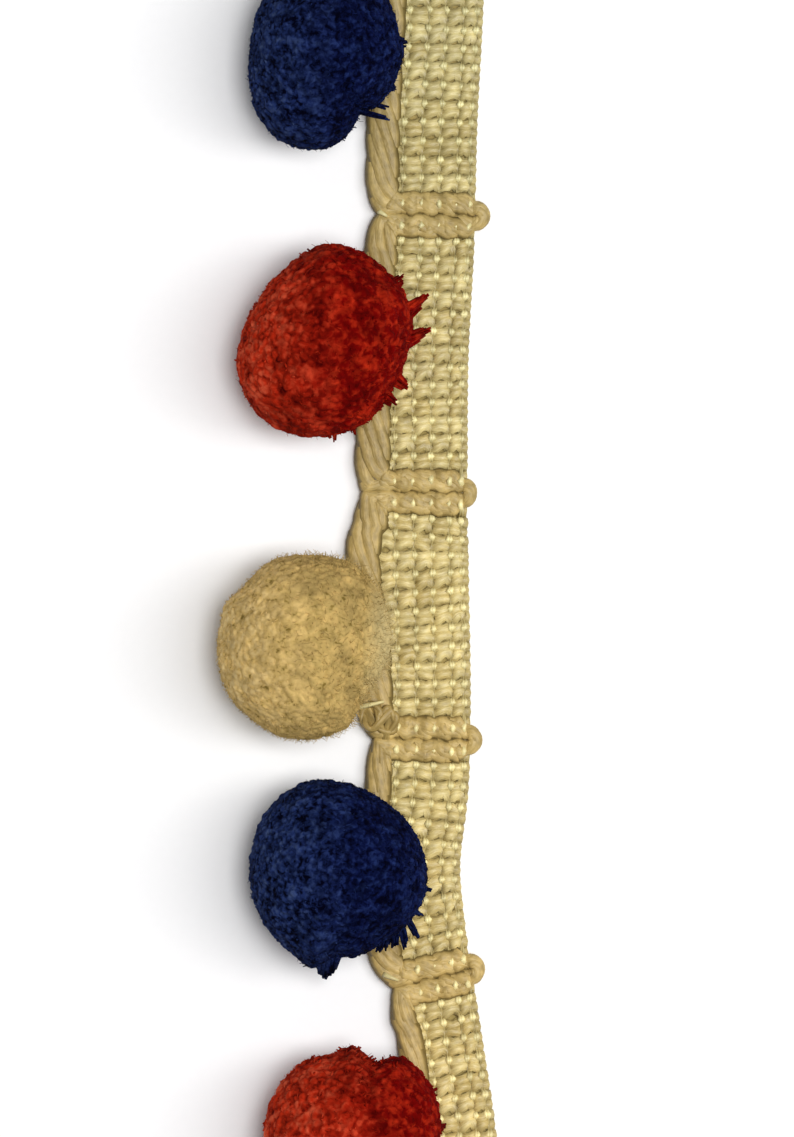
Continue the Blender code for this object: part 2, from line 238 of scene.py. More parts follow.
class SharedEffects:
    """The node groups that more than one finish uses, each built once."""

    STRETCH: ClassVar[tuple[float, float, float]] = (0.22, 1.0, 1.0)  # of a filament, along, across and up
    CLUMP: ClassVar[float] = 0.36  # coarseness of the felt's clumps beside its flecks
    FLECK_SHARE: ClassVar[float] = 0.68  # of the flecks in the felt
    CLUMP_SHARE: ClassVar[float] = 0.32  # of the clumps

    def __init__(self) -> None:
        """Build the groups."""
        self.filaments = self._filaments()
        self.mottle = self._mottle()
        self.felt = self._felt()

    @staticmethod
    def _group(name: str, inputs: dict[str, tuple[str, object]], outputs: dict[str, str]) -> tuple:
        """Start a node group.

        Args:
            name: The group's name.
            inputs: Socket kind and default of each input by name.
            outputs: Socket kind of each output by name.

        Returns:
            The sheet of its tree, its input node and its output node.
        """
        tree = bpy.data.node_groups.new(name, "ShaderNodeTree")
        for key, (kind, default) in inputs.items():
            socket = tree.interface.new_socket(key, in_out="INPUT", socket_type=kind)
            if default is not None:
                socket.default_value = default
        for key, kind in outputs.items():
            tree.interface.new_socket(key, in_out="OUTPUT", socket_type=kind)
        sheet = NodeSheet(tree)
        return sheet, sheet.add("NodeGroupInput"), sheet.add("NodeGroupOutput")

    def _filaments(self) -> bpy.types.NodeTree:
        """Build fine filaments that run along a thread, read in the thread's own straightened space.

        Returns:
            The group, which puts out the filaments' height.
        """
        sheet, start, end = self._group(
            "thread_filaments",
            {"Fibre": ("NodeSocketVector", None), "Fineness": ("NodeSocketFloat", 5.0)},
            {"Height": "NodeSocketFloat"},
        )
        fibre = start.outputs["Fibre"]
        stretched = sheet.add("ShaderNodeMapping", {"Vector": fibre, "Scale": self.STRETCH}).outputs[0]
        fine = sheet.noise(stretched, start.outputs["Fineness"], 3.0, Roughness=0.6)
        sheet.tree.links.new(fine, end.inputs["Height"])
        return sheet.tree

    def _mottle(self) -> bpy.types.NodeTree:
        """Build a soft uneven tone over the whole piece, from its own object coordinates.

        Returns:
            The group, which puts out a grey to multiply a colour by.
        """
        sheet, start, end = self._group(
            "dye_mottle",
            {
                "Size": ("NodeSocketFloat", 300.0),
                "Low": ("NodeSocketFloat", 0.8),
                "High": ("NodeSocketFloat", 1.2),
            },
            {"Tone": "NodeSocketColor"},
        )
        place = sheet.add("ShaderNodeTexCoord").outputs["Object"]
        cloud = sheet.noise(place, start.outputs["Size"], 2.0, Roughness=0.55)
        spread = sheet.add(
            "ShaderNodeMapRange",
            {"Value": cloud, "From Min": 0.3, "From Max": 0.7,
             "To Min": start.outputs["Low"], "To Max": start.outputs["High"]},
        ).outputs["Result"]
        tone = sheet.add("ShaderNodeCombineXYZ", {0: spread, 1: spread, 2: spread}).outputs[0]
        sheet.tree.links.new(tone, end.inputs["Tone"])
        return sheet.tree

    def _felt(self) -> bpy.types.NodeTree:
        """Build the tangled flecks of felted wool, fine ones inside coarser clumps.

        Returns:
            The group, which puts out the flecks' value.
        """
        sheet, start, end = self._group(
            "felt_flecks", {"Size": ("NodeSocketFloat", 2000.0)}, {"Fleck": "NodeSocketFloat"}
        )
        place = sheet.add("ShaderNodeTexCoord").outputs["Object"]
        size = start.outputs["Size"]
        fine = sheet.noise(place, size, 2.5, Roughness=0.58, Distortion=0.5)
        clumps = sheet.noise(place, sheet.math("MULTIPLY", size, self.CLUMP), 2.0)
        fine = sheet.math("MULTIPLY", fine, self.FLECK_SHARE)
        clumps = sheet.math("MULTIPLY", clumps, self.CLUMP_SHARE)
        sheet.tree.links.new(sheet.math("ADD", fine, clumps), end.inputs["Fleck"])
        return sheet.tree

    def tone(self, sheet: NodeSheet, size: float, tones: tuple[float, float]) -> bpy.types.NodeSocket:
        """Place the uneven tone in a material's tree.

        Args:
            sheet: The sheet of that tree.
            size: How many clouds of tone lie side by side in a metre.
            tones: Of the darkest and the lightest cloud.

        Returns:
            The tone's socket.
        """
        low, high = tones
        return self.place(sheet, self.mottle, {"Size": size, "Low": low, "High": high}).outputs["Tone"]

    @staticmethod
    def place(sheet: NodeSheet, group: bpy.types.NodeTree, inputs: dict) -> bpy.types.Node:
        """Place one of the groups in a material's tree.

        Args:
            sheet: The sheet of that tree.
            group: The group.
            inputs: Values or sockets for its inputs by name.

        Returns:
            The new node.
        """
        return sheet.add("ShaderNodeGroup", inputs, node_tree=group)


def new_material(name: str) -> tuple[bpy.types.Material, NodeSheet, bpy.types.Node]:
    """Start a material.

    Args:
        name: Its name.

    Returns:
        The material, the sheet of its nodes and its Principled shader.
    """
    material = bpy.data.materials.new(name)
    material.use_nodes = True
    return material, NodeSheet(material.node_tree), material.node_tree.nodes["Principled BSDF"]


@dataclass(frozen=True)
class ThreadFinish:
    """A smooth spun thread.

    Args:
        name: The material's name.
        deep: Painted shade colour, where strands sink and meet and along their sides.
        body: Colour of the thread.
        bright: Colour of its paler strands, and the painted sheen on its filaments' crests.
        roughness: Of the shader.
        gloss: Strength of its mirror reflection.
        fineness: How many filaments show over a millimetre.
        relief: Strength of the filaments' relief.
        cloud: How many clouds of tone lie side by side in a metre.
        rim: Half width, in millimetres, where the thread's side turns wholly to the painted shade.
    """

    name: str
    deep: Colour
    body: Colour
    bright: Colour
    roughness: float
    gloss: float
    fineness: float
    relief: float
    cloud: float
    rim: float

    TONES: ClassVar[tuple[float, float]] = (0.78, 1.18)  # of the darkest and the lightest cloud
    TINT_SHARE: ClassVar[float] = 0.85  # of a strand's own shade in how pale it is
    PEAKS: ClassVar[tuple[float, float]] = (0.35, 0.7)  # heights between which a filament's crest turns pale, a painted sheen
    PALE_SHARE: ClassVar[float] = 0.6  # of the palest colour at the most
    RIM_START: ClassVar[float] = 0.6  # of the rim, where the painted shade on the side begins
    SIDE_SHADE_LOSS: ClassVar[float] = 0.7  # of its colour that the painted shade on the side takes away
    DRIFT_ENDS: ClassVar[tuple[float, float]] = (-70 * MM, 80 * MM)  # y between which the colour drifts from one tint to the other
    LOWER_END_TINT: ClassVar[Colour] = (1.06, 1.0, 0.93)  # multiplied in at the lower one: warmer
    UPPER_END_TINT: ClassVar[Colour] = (0.86, 0.87, 0.87)  # multiplied in at the upper one: cooler and darker
    RELIEF_DEPTH: ClassVar[float] = 0.1 * MM  # of the filaments at relief 1

    def material(self, effects: SharedEffects) -> bpy.types.Material:
        """Build the material.

        Args:
            effects: The shared node groups.

        Returns:
            The material.
        """
        material, sheet, shader = new_material(self.name)
        fibre = sheet.attribute("fibre").outputs["Vector"]
        tint = sheet.attribute("tint").outputs["Fac"]
        depth = sheet.attribute("depth").outputs["Fac"]
        filaments = effects.place(sheet, effects.filaments, {"Fibre": fibre, "Fineness": self.fineness})
        height = filaments.outputs["Height"]
        tone = effects.tone(sheet, self.cloud, self.TONES)
        # Painted sheen: the filaments' crests turn towards the bright colour, beside each strand's own random
        # shade.
        sheen_peaks = sheet.spread(height, *self.PEAKS)
        pale = sheet.math("ADD", sheet.math("MULTIPLY", tint, self.TINT_SHARE), sheen_peaks)
        colour = sheet.mix(sheet.math("MULTIPLY", pale, self.PALE_SHARE), self.body, self.bright)
        # Painted shade: a thread's sides, and every point whose depth is below 1, darken towards the deep
        # colour.
        beside = sheet.math("ABSOLUTE", sheet.add("ShaderNodeSeparateXYZ", {0: fibre}).outputs[1])
        side = sheet.spread(beside, self.rim * self.RIM_START, self.rim)
        side_shade = sheet.math("MULTIPLY_ADD", side, -self.SIDE_SHADE_LOSS, 1.0)
        colour = sheet.mix(sheet.math("MULTIPLY", depth, side_shade), self.deep, colour)
        colour = sheet.mix(1.0, colour, tone, "MULTIPLY")
        # Warmer towards the lower end of the trim, cooler and darker towards the upper end.
        place = sheet.add("ShaderNodeTexCoord").outputs["Object"]
        along = sheet.add("ShaderNodeSeparateXYZ", {0: place}).outputs[1]
        drift_tint = sheet.mix(sheet.spread(along, *self.DRIFT_ENDS), self.LOWER_END_TINT, self.UPPER_END_TINT)
        colour = sheet.mix(1.0, colour, drift_tint, "MULTIPLY")
        sheet.dress(shader, colour, height, self.relief, self.RELIEF_DEPTH, self.roughness)
        shader.inputs["Specular IOR Level"].default_value = self.gloss
        return material


@dataclass(frozen=True)
class WoolFinish:
    """A dyed wool in cut ends, felted together.

    Args:
        wool: Which wool it is.
        pit: Colour of the dark flecks, and painted shade deep between the ends.
        shaded: Colour of the ends on the heading's side, a painted shade.
        body: Colour of the ends on the free side, painted lighter than the heading's side.
        bright: Colour of the palest ends there; towards the heading's side, painted shade turns them to the
            body colour.
        fleck: How many flecks lie side by side in a metre.
        dark: Range of the flecks that turns to the pits' colour.
        light: Range of the flecks that turns to the palest colour.
        relief: Strength of the felt's relief.
        gap: Depths between tufts over which the painted shade turns from the pits' colour to the ends'.
        haze: Pale colour painted over the rim on the heading's side, and how much of it covers.
    """

    wool: Wool
    pit: Colour
    shaded: Colour
    body: Colour
    bright: Colour
    fleck: float
    dark: tuple[float, float]
    light: tuple[float, float]
    relief: float
    gap: tuple[float, float] = (-0.35, 0.8)
    haze: tuple[Colour, float] = ((0.0, 0.0, 0.0), 0.0)

    LEE: ClassVar[tuple[float, float]] = (0.06, 0.6)  # of the way round to the heading, where the painted shade sets in
    TONES: ClassVar[tuple[float, float]] = (0.74, 1.22)  # of the darkest and the lightest cloud
    TINT_SWING: ClassVar[float] = 0.16  # how far a tuft's own shade moves its flecks
    PALE_SHADE_LOSS: ClassVar[float] = 0.25  # of the palest ends that the heading's side loses to painted shade
    HAZE_RIM: ClassVar[tuple[float, float]] = (0.84, 0.98)  # of the way round, where the haze sets in
    FINENESS: ClassVar[float] = 7.0  # how many filaments show over a millimetre of an end
    FILAMENT_SHARE: ClassVar[float] = 0.5  # of the filaments in the relief, beside the felt
    RELIEF_DEPTH: ClassVar[float] = 0.25 * MM  # of both at relief 1
    CLOUD: ClassVar[float] = 300.0  # clouds of tone side by side in a metre
    ROUGHNESS: ClassVar[float] = 0.95  # of the shader
    GLOSS: ClassVar[float] = 0.03  # strength of its mirror reflection

    def material(self, effects: SharedEffects) -> bpy.types.Material:
        """Build the material.

        Args:
            effects: The shared node groups.

        Returns:
            The material.
        """
        material, sheet, shader = new_material(self.wool.value + "_dressed")
        fibre = sheet.attribute("fibre").outputs["Vector"]
        tint = sheet.attribute("tint").outputs["Fac"]
        depth = sheet.attribute("depth").outputs["Fac"]
        side = sheet.attribute("lee").outputs["Fac"]
        lee = sheet.spread(side, *self.LEE)
        filaments = effects.place(sheet, effects.filaments, {"Fibre": fibre, "Fineness": self.FINENESS})
        tone = effects.tone(sheet, self.CLOUD, self.TONES)
        fleck = effects.place(sheet, effects.felt, {"Size": self.fleck}).outputs["Fleck"]
        swing = sheet.math("MULTIPLY_ADD", tint, self.TINT_SWING, -self.TINT_SWING / 2)
        shifted = sheet.math("ADD", fleck, swing)
        # Painted light and shade: the free side takes the body colour and the palest ends, and the heading's
        # side the darker shaded colour.
        unshaded_part = sheet.math("MULTIPLY_ADD", lee, -self.PALE_SHADE_LOSS, 1.0)
        pale = sheet.math("MULTIPLY", sheet.spread(shifted, *self.light), unshaded_part)
        bright = sheet.mix(lee, self.bright, self.body)
        colour = sheet.mix(lee, self.body, self.shaded)
        colour = sheet.mix(pale, colour, bright)
        # Dark flecks take the pits' colour; below, painted shade darkens the pits between the tufts by their
        # depth.
        colour = sheet.mix(sheet.spread(shifted, *self.dark), self.pit, colour)
        colour = sheet.mix(sheet.spread(depth, *self.gap), self.pit, colour)
        colour = sheet.mix(1.0, colour, tone, "MULTIPLY")
        # A pale colour painted over the rim on the heading's side.
        loose, cover = self.haze
        colour = sheet.mix(sheet.math("MULTIPLY", sheet.spread(side, *self.HAZE_RIM), cover), colour, loose)
        fine = sheet.math("MULTIPLY", filaments.outputs["Height"], self.FILAMENT_SHARE)
        height = sheet.math("ADD", fleck, fine)
        sheet.dress(shader, colour, height, self.relief, self.RELIEF_DEPTH, self.ROUGHNESS)
        shader.inputs["Specular IOR Level"].default_value = self.GLOSS
        return material


@dataclass(frozen=True)
class GroundFinish:
    """The ribbed ground below the heading's threads, darker than them, a painted shade for the gaps between
    them.

    Args:
        dark: Colour in its furrows, a painted shade broken by grain.
        light: Colour on its ribs.
    """

    dark: Colour
    light: Colour

    RIBS: ClassVar[float] = 130.0  # how closely its ribs lie
    GRAIN: ClassVar[float] = 2600.0  # how finely they are broken up
    TONES: ClassVar[tuple[float, float]] = (0.85, 1.1)  # of the darkest and the lightest cloud
    CLOUD: ClassVar[float] = 300.0  # clouds of tone side by side in a metre

    def material(self, effects: SharedEffects) -> bpy.types.Material:
        """Build the material.

        Args:
            effects: The shared node groups.

        Returns:
            The material.
        """
        material, sheet, shader = new_material("heading_ground")
        place = sheet.add("ShaderNodeTexCoord").outputs["Object"]
        ribs = sheet.add(
            "ShaderNodeTexWave", {"Vector": place, "Scale": self.RIBS, "Distortion": 1.5, "Detail": 2.0},
            bands_direction="Y",
        ).outputs["Fac"]
        grain = sheet.noise(place, self.GRAIN, 3.0)
        tone = effects.tone(sheet, self.CLOUD, self.TONES)
        # Painted shade: the furrows between the ribs, broken by grain, take the dark colour.
        colour = sheet.mix(sheet.math("MULTIPLY", ribs, grain), self.dark, self.light)
        colour = sheet.mix(1.0, colour, tone, "MULTIPLY")
        relief = sheet.math("ADD", ribs, grain)
        sheet.dress(shader, colour, relief, strength=0.5, depth=0.15 * MM, roughness=0.8)
        return material


# ---------------------------------------------------------------- strands


class Tube:
    """One capped tube of a bmesh cone, whose rings are bent onto many paths."""

    def __init__(self, sides: int, rings: int) -> None:
        """Build the tube.

        Args:
            sides: Faces round it.
            rings: Points of the paths that it will follow.
        """
        self.rings = rings
        bm = bmesh.new()
        span = rings - 1
        bmesh.ops.create_cone(
            bm, cap_ends=True, cap_tris=False, segments=sides, radius1=1.0, radius2=1.0, depth=float(span)
        )
        if rings > 2:
            upright = [edge for edge in bm.edges if abs(edge.verts[0].co.z - edge.verts[1].co.z) > 0.5]
            bmesh.ops.subdivide_edges(bm, edges=upright, cuts=rings - 2)
        bmesh.ops.recalc_face_normals(bm, faces=bm.faces)
        bm.verts.index_update()
        points = np.array([vert.co for vert in bm.verts])
        self.ring = np.rint(points[:, 2] + span / 2).astype(int)
        self.cos, self.sin = points[:, 0], points[:, 1]
        corners = [[vert.index for vert in face.verts] for face in bm.faces]
        self.loops = np.concatenate(corners)
        self.sizes = np.array([len(corner) for corner in corners])
        bm.free()


def round_axes(
    paths: np.ndarray, reference: np.ndarray, wide: np.ndarray, high: np.ndarray
) -> tuple[np.ndarray, np.ndarray]:
    """Return each ring's two half axes, square to its path.

    Args:
        paths: Points, one row of them for each path.
        reference: Direction that the first half axis stays near.
        wide: Half width of each ring, along the reference.
        high: Half height of each ring.

    Returns:
        The two half axes at every point.
    """
    along = unit(np.gradient(paths, axis=1))
    first = unit(reference - (reference * along).sum(-1, keepdims=True) * along)
    second = np.cross(along, first)
    return first * np.broadcast_to(wide, paths.shape[:2])[..., None], (
        second * np.broadcast_to(high, paths.shape[:2])[..., None]
    )


class StrandMesh:
    """Collects tubes laid along paths and writes them as one joined mesh with its own attributes."""

    FIBRE_SHIFT: ClassVar[float] = 900.0  # within which each strand's filaments start, in millimetres

    def __init__(self, rng: np.random.Generator) -> None:
        """Start empty.

        Args:
            rng: Source of each strand's own shade.
        """
        self.rng = rng
        self.points: list[np.ndarray] = []
        self.loops: list[np.ndarray] = []
        self.sizes: list[np.ndarray] = []
        self.values: dict[str, list[np.ndarray]] = {"tint": [], "depth": [], "lee": []}
        self.fibres: list[np.ndarray] = []
        self.count = 0

    def add(
        self,
        tube: Tube,
        paths: np.ndarray,
        axes: tuple[np.ndarray, np.ndarray],
        depth: np.ndarray | float = 1.0,
        tint: np.ndarray | None = None,
        lee: np.ndarray | float = 0.0,
    ) -> None:
        """Lay a tube along every path.

        Args:
            tube: The tube, with as many rings as a path has points.
            paths: Points, one row of them for each path.
            axes: The two half axes of every ring.
            depth: 0 where a point lies deep and 1 on the surface, for each point of each path; the finishes
                paint shade where it is low.
            tint: Shade of each path or of each point, from 0 to 1, drawn at random if left out.
            lee: 1 on the heading's side and 0 on the free side, for each path; the wool finish paints shade
                by it.
        """
        number = len(paths)
        across, upward = axes
        along = np.gradient(paths, axis=1)
        turned = (np.cross(across, upward) * along).sum(-1, keepdims=True) < 0
        upward = np.where(turned, -upward, upward)
        ring, cos, sin = tube.ring, tube.cos[None, :, None], tube.sin[None, :, None]
        points = paths[:, ring] + cos * across[:, ring] + sin * upward[:, ring]
        self.points.append(points.reshape(-1, 3))
        starts = self.count + np.arange(number)[:, None] * len(ring)
        self.loops.append((starts + tube.loops[None]).ravel())
        self.sizes.append(np.tile(tube.sizes, number))
        self.count += number * len(ring)
        if tint is None:
            tint = self.rng.random((number, 1))
        whole = (number, tube.rings)
        for key, value in (("depth", depth), ("tint", tint)):
            self.values[key].append(np.broadcast_to(value, whole)[:, ring].ravel())
        lees = np.broadcast_to(np.asarray(lee, float).reshape(-1, 1), (number, len(ring)))
        self.values["lee"].append(lees.ravel())
        run = np.zeros(whole)
        run[:, 1:] = np.cumsum(np.linalg.norm(np.diff(paths, axis=1), axis=-1), axis=1)
        offset = self.rng.uniform(0, self.FIBRE_SHIFT, (number, 1))
        wide = np.linalg.norm(across, axis=-1)[:, ring] * tube.cos / MM
        high = np.linalg.norm(upward, axis=-1)[:, ring] * tube.sin / MM
        fibre = np.stack([run[:, ring] / MM + offset, wide, high + offset], axis=-1)
        self.fibres.append(fibre.reshape(-1, 3))

    def add_surface(
        self, points: np.ndarray, faces: np.ndarray, tint: np.ndarray, depth: np.ndarray, lee: np.ndarray
    ) -> None:
        """Add a closed surface of triangles.

        Args:
            points: Its points.
            faces: Its triangles.
            tint: Shade of each point, from 0 to 1.
            depth: 0 where a point lies deep and 1 on the surface; the finishes paint shade where it is low.
            lee: 1 on the heading's side and 0 on the free side; the wool finish paints shade by it.
        """
        self.points.append(points)
        self.loops.append((faces + self.count).ravel())
        self.sizes.append(np.full(len(faces), 3))
        self.count += len(points)
        for key, values in (("tint", tint), ("depth", depth), ("lee", lee)):
            self.values[key].append(values)
        self.fibres.append(points / MM)

    def piece(self, name: str, material: bpy.types.Material) -> bpy.types.Object:
        """Write the mesh as an object.

        Args:
            name: Its name.
            material: Its finish.

        Returns:
            The object, riding on the trim's one body.
        """
        mesh = bpy.data.meshes.new(name)
        points, loops, sizes = map(np.concatenate, (self.points, self.loops, self.sizes))
        mesh.vertices.add(len(points))
        mesh.vertices.foreach_set("co", points.astype(np.float32).ravel())
        mesh.loops.add(len(loops))
        mesh.loops.foreach_set("vertex_index", loops.astype(np.int32))
        mesh.polygons.add(len(sizes))
        mesh.polygons.foreach_set("loop_start", np.concatenate([[0], np.cumsum(sizes)[:-1]]).astype(np.int32))
        mesh.update(calc_edges=True)
        mesh.shade_smooth()
        for key, values in self.values.items():
            layer = mesh.attributes.new(key, "FLOAT", "POINT")
            layer.data.foreach_set("value", np.concatenate(values).astype(np.float32))
        layer = mesh.attributes.new("fibre", "FLOAT_VECTOR", "POINT")
        layer.data.foreach_set("vector", np.concatenate(self.fibres).astype(np.float32).ravel())
        mesh.materials.append(material)
        return show(bpy.data.objects.new(name, mesh))


def show(obj: bpy.types.Object) -> bpy.types.Object:
    """Link a new piece into the scene and let it ride on the trim's body.

    Args:
        obj: The piece.

    Returns:
        The same piece.
    """
    bpy.context.scene.collection.objects.link(obj)
    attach(obj, BODY)
    triangles = sum(len(face.vertices) - 2 for face in obj.data.polygons)
    LOG.info("%s: %d triangles", obj.name, triangles)
    return obj


# ---------------------------------------------------------------- heading


class HeadingCourse:
    """The heading's course: a smooth middle line and half width, read at any y."""

    def __init__(self) -> None:
        """Read the table of edges."""
        self.ys, left, right = HEADING_EDGES.T
        self.middle = (left + right) / 2
        self.half = (right - left) / 2

    def _read(self, values: np.ndarray, y: np.ndarray) -> np.ndarray:
        """Read a column of the table along a cubic through its rows.

        Args:
            values: The column.
            y: Where to read it.

        Returns:
            Its values there.
        """
        slopes = np.gradient(values, self.ys)
        i = np.clip(np.searchsorted(self.ys, y) - 1, 0, len(self.ys) - 2)
        run = self.ys[i + 1] - self.ys[i]
        t = np.clip((y - self.ys[i]) / run, 0, 1)
        return (
            values[i] * (1 + 2 * t) * (1 - t) ** 2
            + slopes[i] * run * t * (1 - t) ** 2
            + values[i + 1] * t * t * (3 - 2 * t)
            + slopes[i + 1] * run * t * t * (t - 1)
        )

    def half_width(self, y: np.ndarray) -> np.ndarray:
        """Return half of the heading's width at y."""
        return self._read(self.half, y)

    def place(self, y: np.ndarray, across: np.ndarray, z: np.ndarray) -> np.ndarray:
        """Return points that lie across the middle line, square to it.

        Args:
            y: Where on the middle line.
            across: How far to its right.
            z: Height.

        Returns:
            The points.
        """
        y, across, z = np.broadcast_arrays(np.asarray(y, float), across, z)
        step = 0.5 * MM
        slope = (self._read(self.middle, y + step) - self._read(self.middle, y - step)) / (2 * step)
        length = np.sqrt(1 + slope**2)
        x = self._read(self.middle, y) + across / length
        return np.stack([x, y - slope / length * across, z], axis=-1)


def chains_across(half: float) -> list[float]:
    """Return how far each warp chain lies across the heading's middle line, from left to right."""
    return [half - chain for chain in reversed(CHAINS) if 2 * half - chain > EDGE_ROOM]


@dataclass
class Heading:
    """The woven heading: weft rows over a darker ground that paints the shade between them, held by glossy
    warp chains.

    Args:
        course: Its middle line and half width.
        row_pitch: From one weft row to the next.
        row_strands: Threads side by side in a row.
        strand_wide: Half width of a weft thread, along the heading.
        strand_high: Half its thickness.
        puffed: From one thread of a row to the next between the chains.
        spread: The same under a chain.
        crest: Height of a weft thread's middle between the chains.
        pressed: The same under a chain.
        back: The same behind.
        under_cord: The same where the cord lies over it.
        slant: How far a row's threads climb from one chain to the next.
        chain_radius: Of one ply of a chain.
        behind_radius: The same behind the heading.
        chain_crest: Height of a chain's middle where it flashes over a row.
        chain_dip: The same over the rest of the row.
        pass_crest: The same where it flashes over a pass of the cord.
        pass_dip: The same over the rest of the pass.
        flash_at: Where in a row the flash is, as a part of its pitch; in a pass it is halfway.
        flash_long: Half length of the flash, in the same measure.
        ground_low: Height of the ground's lower face.
        ground_high: Height of its upper face.
        ground_inset: How far inside the heading's edges the ground ends.
        ground_length: Its length, as a part of the heading's.
        full_cell: Width between two chains where the weft swells to its full height.
        front_inset: How far inside the right edge a thread leaves the front.
        turn_inset: How far inside the right edge it turns to the back.
        back_inset: How far inside the right edge its back starts.
        bulge: How far the turn swells out again.
        thin_front: Half thickness of a weft thread under a chain.
        thin_back: The same behind.
        side_drop: How far a row's outer threads lie below its middle.
        ply_sway: How far a ply lies to each side of its chain.
        ply_rise: The same up and down.
        behind: Height of a chain behind, and of its wave.
        stray_wide: Half width of a loose thread over the cord.
        stray_high: Half its height at each end, in millimetres.
        stray_arch: How far it stands up at its middle.
        rng: Source of its random draws.
    """

    course: HeadingCourse
    row_pitch: float = 2.43 * MM
    row_strands: int = 2
    strand_wide: float = 0.70 * MM
    strand_high: float = 0.46 * MM
    puffed: float = 0.76 * MM
    spread: float = 1.12 * MM
    crest: float = 1.13 * MM
    pressed: float = 0.66 * MM
    back: float = 0.32 * MM
    under_cord: float = 0.5 * MM
    slant: float = 0.20 * MM
    chain_radius: float = 0.29 * MM
    behind_radius: float = 0.18 * MM
    chain_crest: float = 1.36 * MM
    chain_dip: float = 0.82 * MM
    pass_crest: float = 1.87 * MM
    pass_dip: float = 1.00 * MM
    flash_at: float = 0.22
    flash_long: float = 0.14
    ground_low: float = 0.40 * MM
    ground_high: float = 0.60 * MM
    ground_inset: float = 0.1 * MM
    ground_length: float = 0.998
    full_cell: float = 1.5 * MM
    front_inset: float = 0.35 * MM
    turn_inset: float = 0.4 * MM
    back_inset: float = 0.45 * MM
    bulge: float = 0.38 * MM
    thin_front: float = 0.32 * MM
    thin_back: float = 0.28 * MM
    side_drop: float = 0.13 * MM
    ply_sway: float = 0.16 * MM
    ply_rise: float = 0.05 * MM
    behind: tuple[float, float] = (0.22 * MM, 0.04 * MM)
    stray_wide: float = 0.20 * MM
    stray_high: tuple[float, float] = (0.42, 0.20)
    stray_arch: float = 0.25 * MM
    rng: np.random.Generator = field(default_factory=lambda: np.random.default_rng(11))

    GRID: ClassVar[tuple[int, int]] = (12, 180)  # cells of the ground, across and along
    # Above each width between two chains, a thread's points in that cell. A narrower cell has one.
    CELL_POINTS: ClassVar[tuple[tuple[float, int], ...]] = ((1.3 * MM, 5), (0.7 * MM, 2))
    CORD_SWELL: ClassVar[float] = 0.85  # where the weft meets the cord, it stays high
    EDGE_SWELL: ClassVar[float] = 0.1  # at the right edge
    RISE_POWER: ClassVar[float] = 0.7  # a thread rises steeply beside a chain
    BUNCH_POWER: ClassVar[float] = 2.2  # but draws together slowly
    CLIMB: ClassVar[float] = 1.6  # of a slanting thread, beside each change of the swell
    OWN_SLANT: ClassVar[float] = 0.8  # a cell's own part of its slant
    OWN_LIFT: ClassVar[float] = 0.10 * MM  # of its height
    OWN_SHIFT: ClassVar[float] = 0.07 * MM  # of its place along the heading
    OWN_TINT: ClassVar[float] = 0.28  # and of its shade
    THREAD_TINT: ClassVar[tuple[float, float]] = (0.6, 0.2)  # a thread's own part of its shade, and the least
    STIR: ClassVar[tuple[float, float]] = (0.04 * MM, 0.02 * MM)  # of each point, along and up
    UNEVEN_CLIMB: ClassVar[float] = 0.8  # of a row's middle; its lower thread climbs more
    SPREAD_WIDER: ClassVar[float] = 0.25  # of a thread under a chain, as a part of its width
    TURN_POINTS: ClassVar[int] = 2  # of a thread round an edge
    BACK_POINTS: ClassVar[int] = 7  # of a thread behind
    THREAD_SIDES: ClassVar[int] = 5  # faces round a thread, a ply or a loose thread
    BEHIND_SIDES: ClassVar[int] = 4  # the same for a ply behind
    UNSEEN_DEPTH: ClassVar[float] = 0.8  # of a thread round the edges and behind, from 0 in a pit to 1, a painted shade there
    VALLEY_DEPTH: ClassVar[float] = 0.5  # of a thread under a chain, a painted shade in the valley
    DIP_DEPTH: ClassVar[float] = 0.1  # of a ply between its flashes, a painted shade there
    DIP_POWER: ClassVar[float] = 0.7  # how soon it rises to 1 in a flash, where the full pale colour paints a glint
    BEHIND_DEPTH: ClassVar[float] = 0.6  # of a ply behind, a painted shade under the heading
    STRAY_DEPTH: ClassVar[float] = 0.65  # of a loose thread
    FLASH_STEPS: ClassVar[tuple[float, ...]] = (-0.22, -0.11, 0.0, 0.11, 0.22, 0.5)  # points round a flash
    PASS_LONGER: ClassVar[float] = 1.35  # a flash over a pass beside one over a row
    FLASH_DRAW: ClassVar[tuple[float, float]] = (0.95, 0.15)  # height of a flash: usual and spread
    FLASH_LEAST: ClassVar[float] = 0.5  # lowest over a row
    PASS_LEAST: ClassVar[float] = 0.72  # lowest over a pass
    FLASH_MOST: ClassVar[float] = 1.1  # highest
    PHASE_STIR: ClassVar[float] = 0.02  # of a flash along its row
    TWIST_STIR: ClassVar[float] = 0.25  # of the plies' twist there, in radians
    CHAIN_STIR: ClassVar[float] = 0.07 * MM  # of a chain to each side
    PLY_GIRTH: ClassVar[tuple[float, float]] = (0.65, 0.6)  # part of a ply's radius; more of it in a flash
    STRAY_POINTS: ClassVar[int] = 6  # of a loose thread

    def beats(self) -> list[tuple[float, float, bool]]:
        """Return every row and every pass of the cord from the top down.

        Returns:
            The y where it starts, its pitch and whether it is a pass.
        """
        found = []
        top = CUT_END
        for knot in KNOTS:
            found += self._rows(top, knot.y + CHANNEL_HALF)
            found += [(knot.y + CHANNEL_HALF, CHANNEL_HALF, True), (knot.y, CHANNEL_HALF, True)]
            top = knot.y - CHANNEL_HALF
        return found + self._rows(top, -CUT_END)

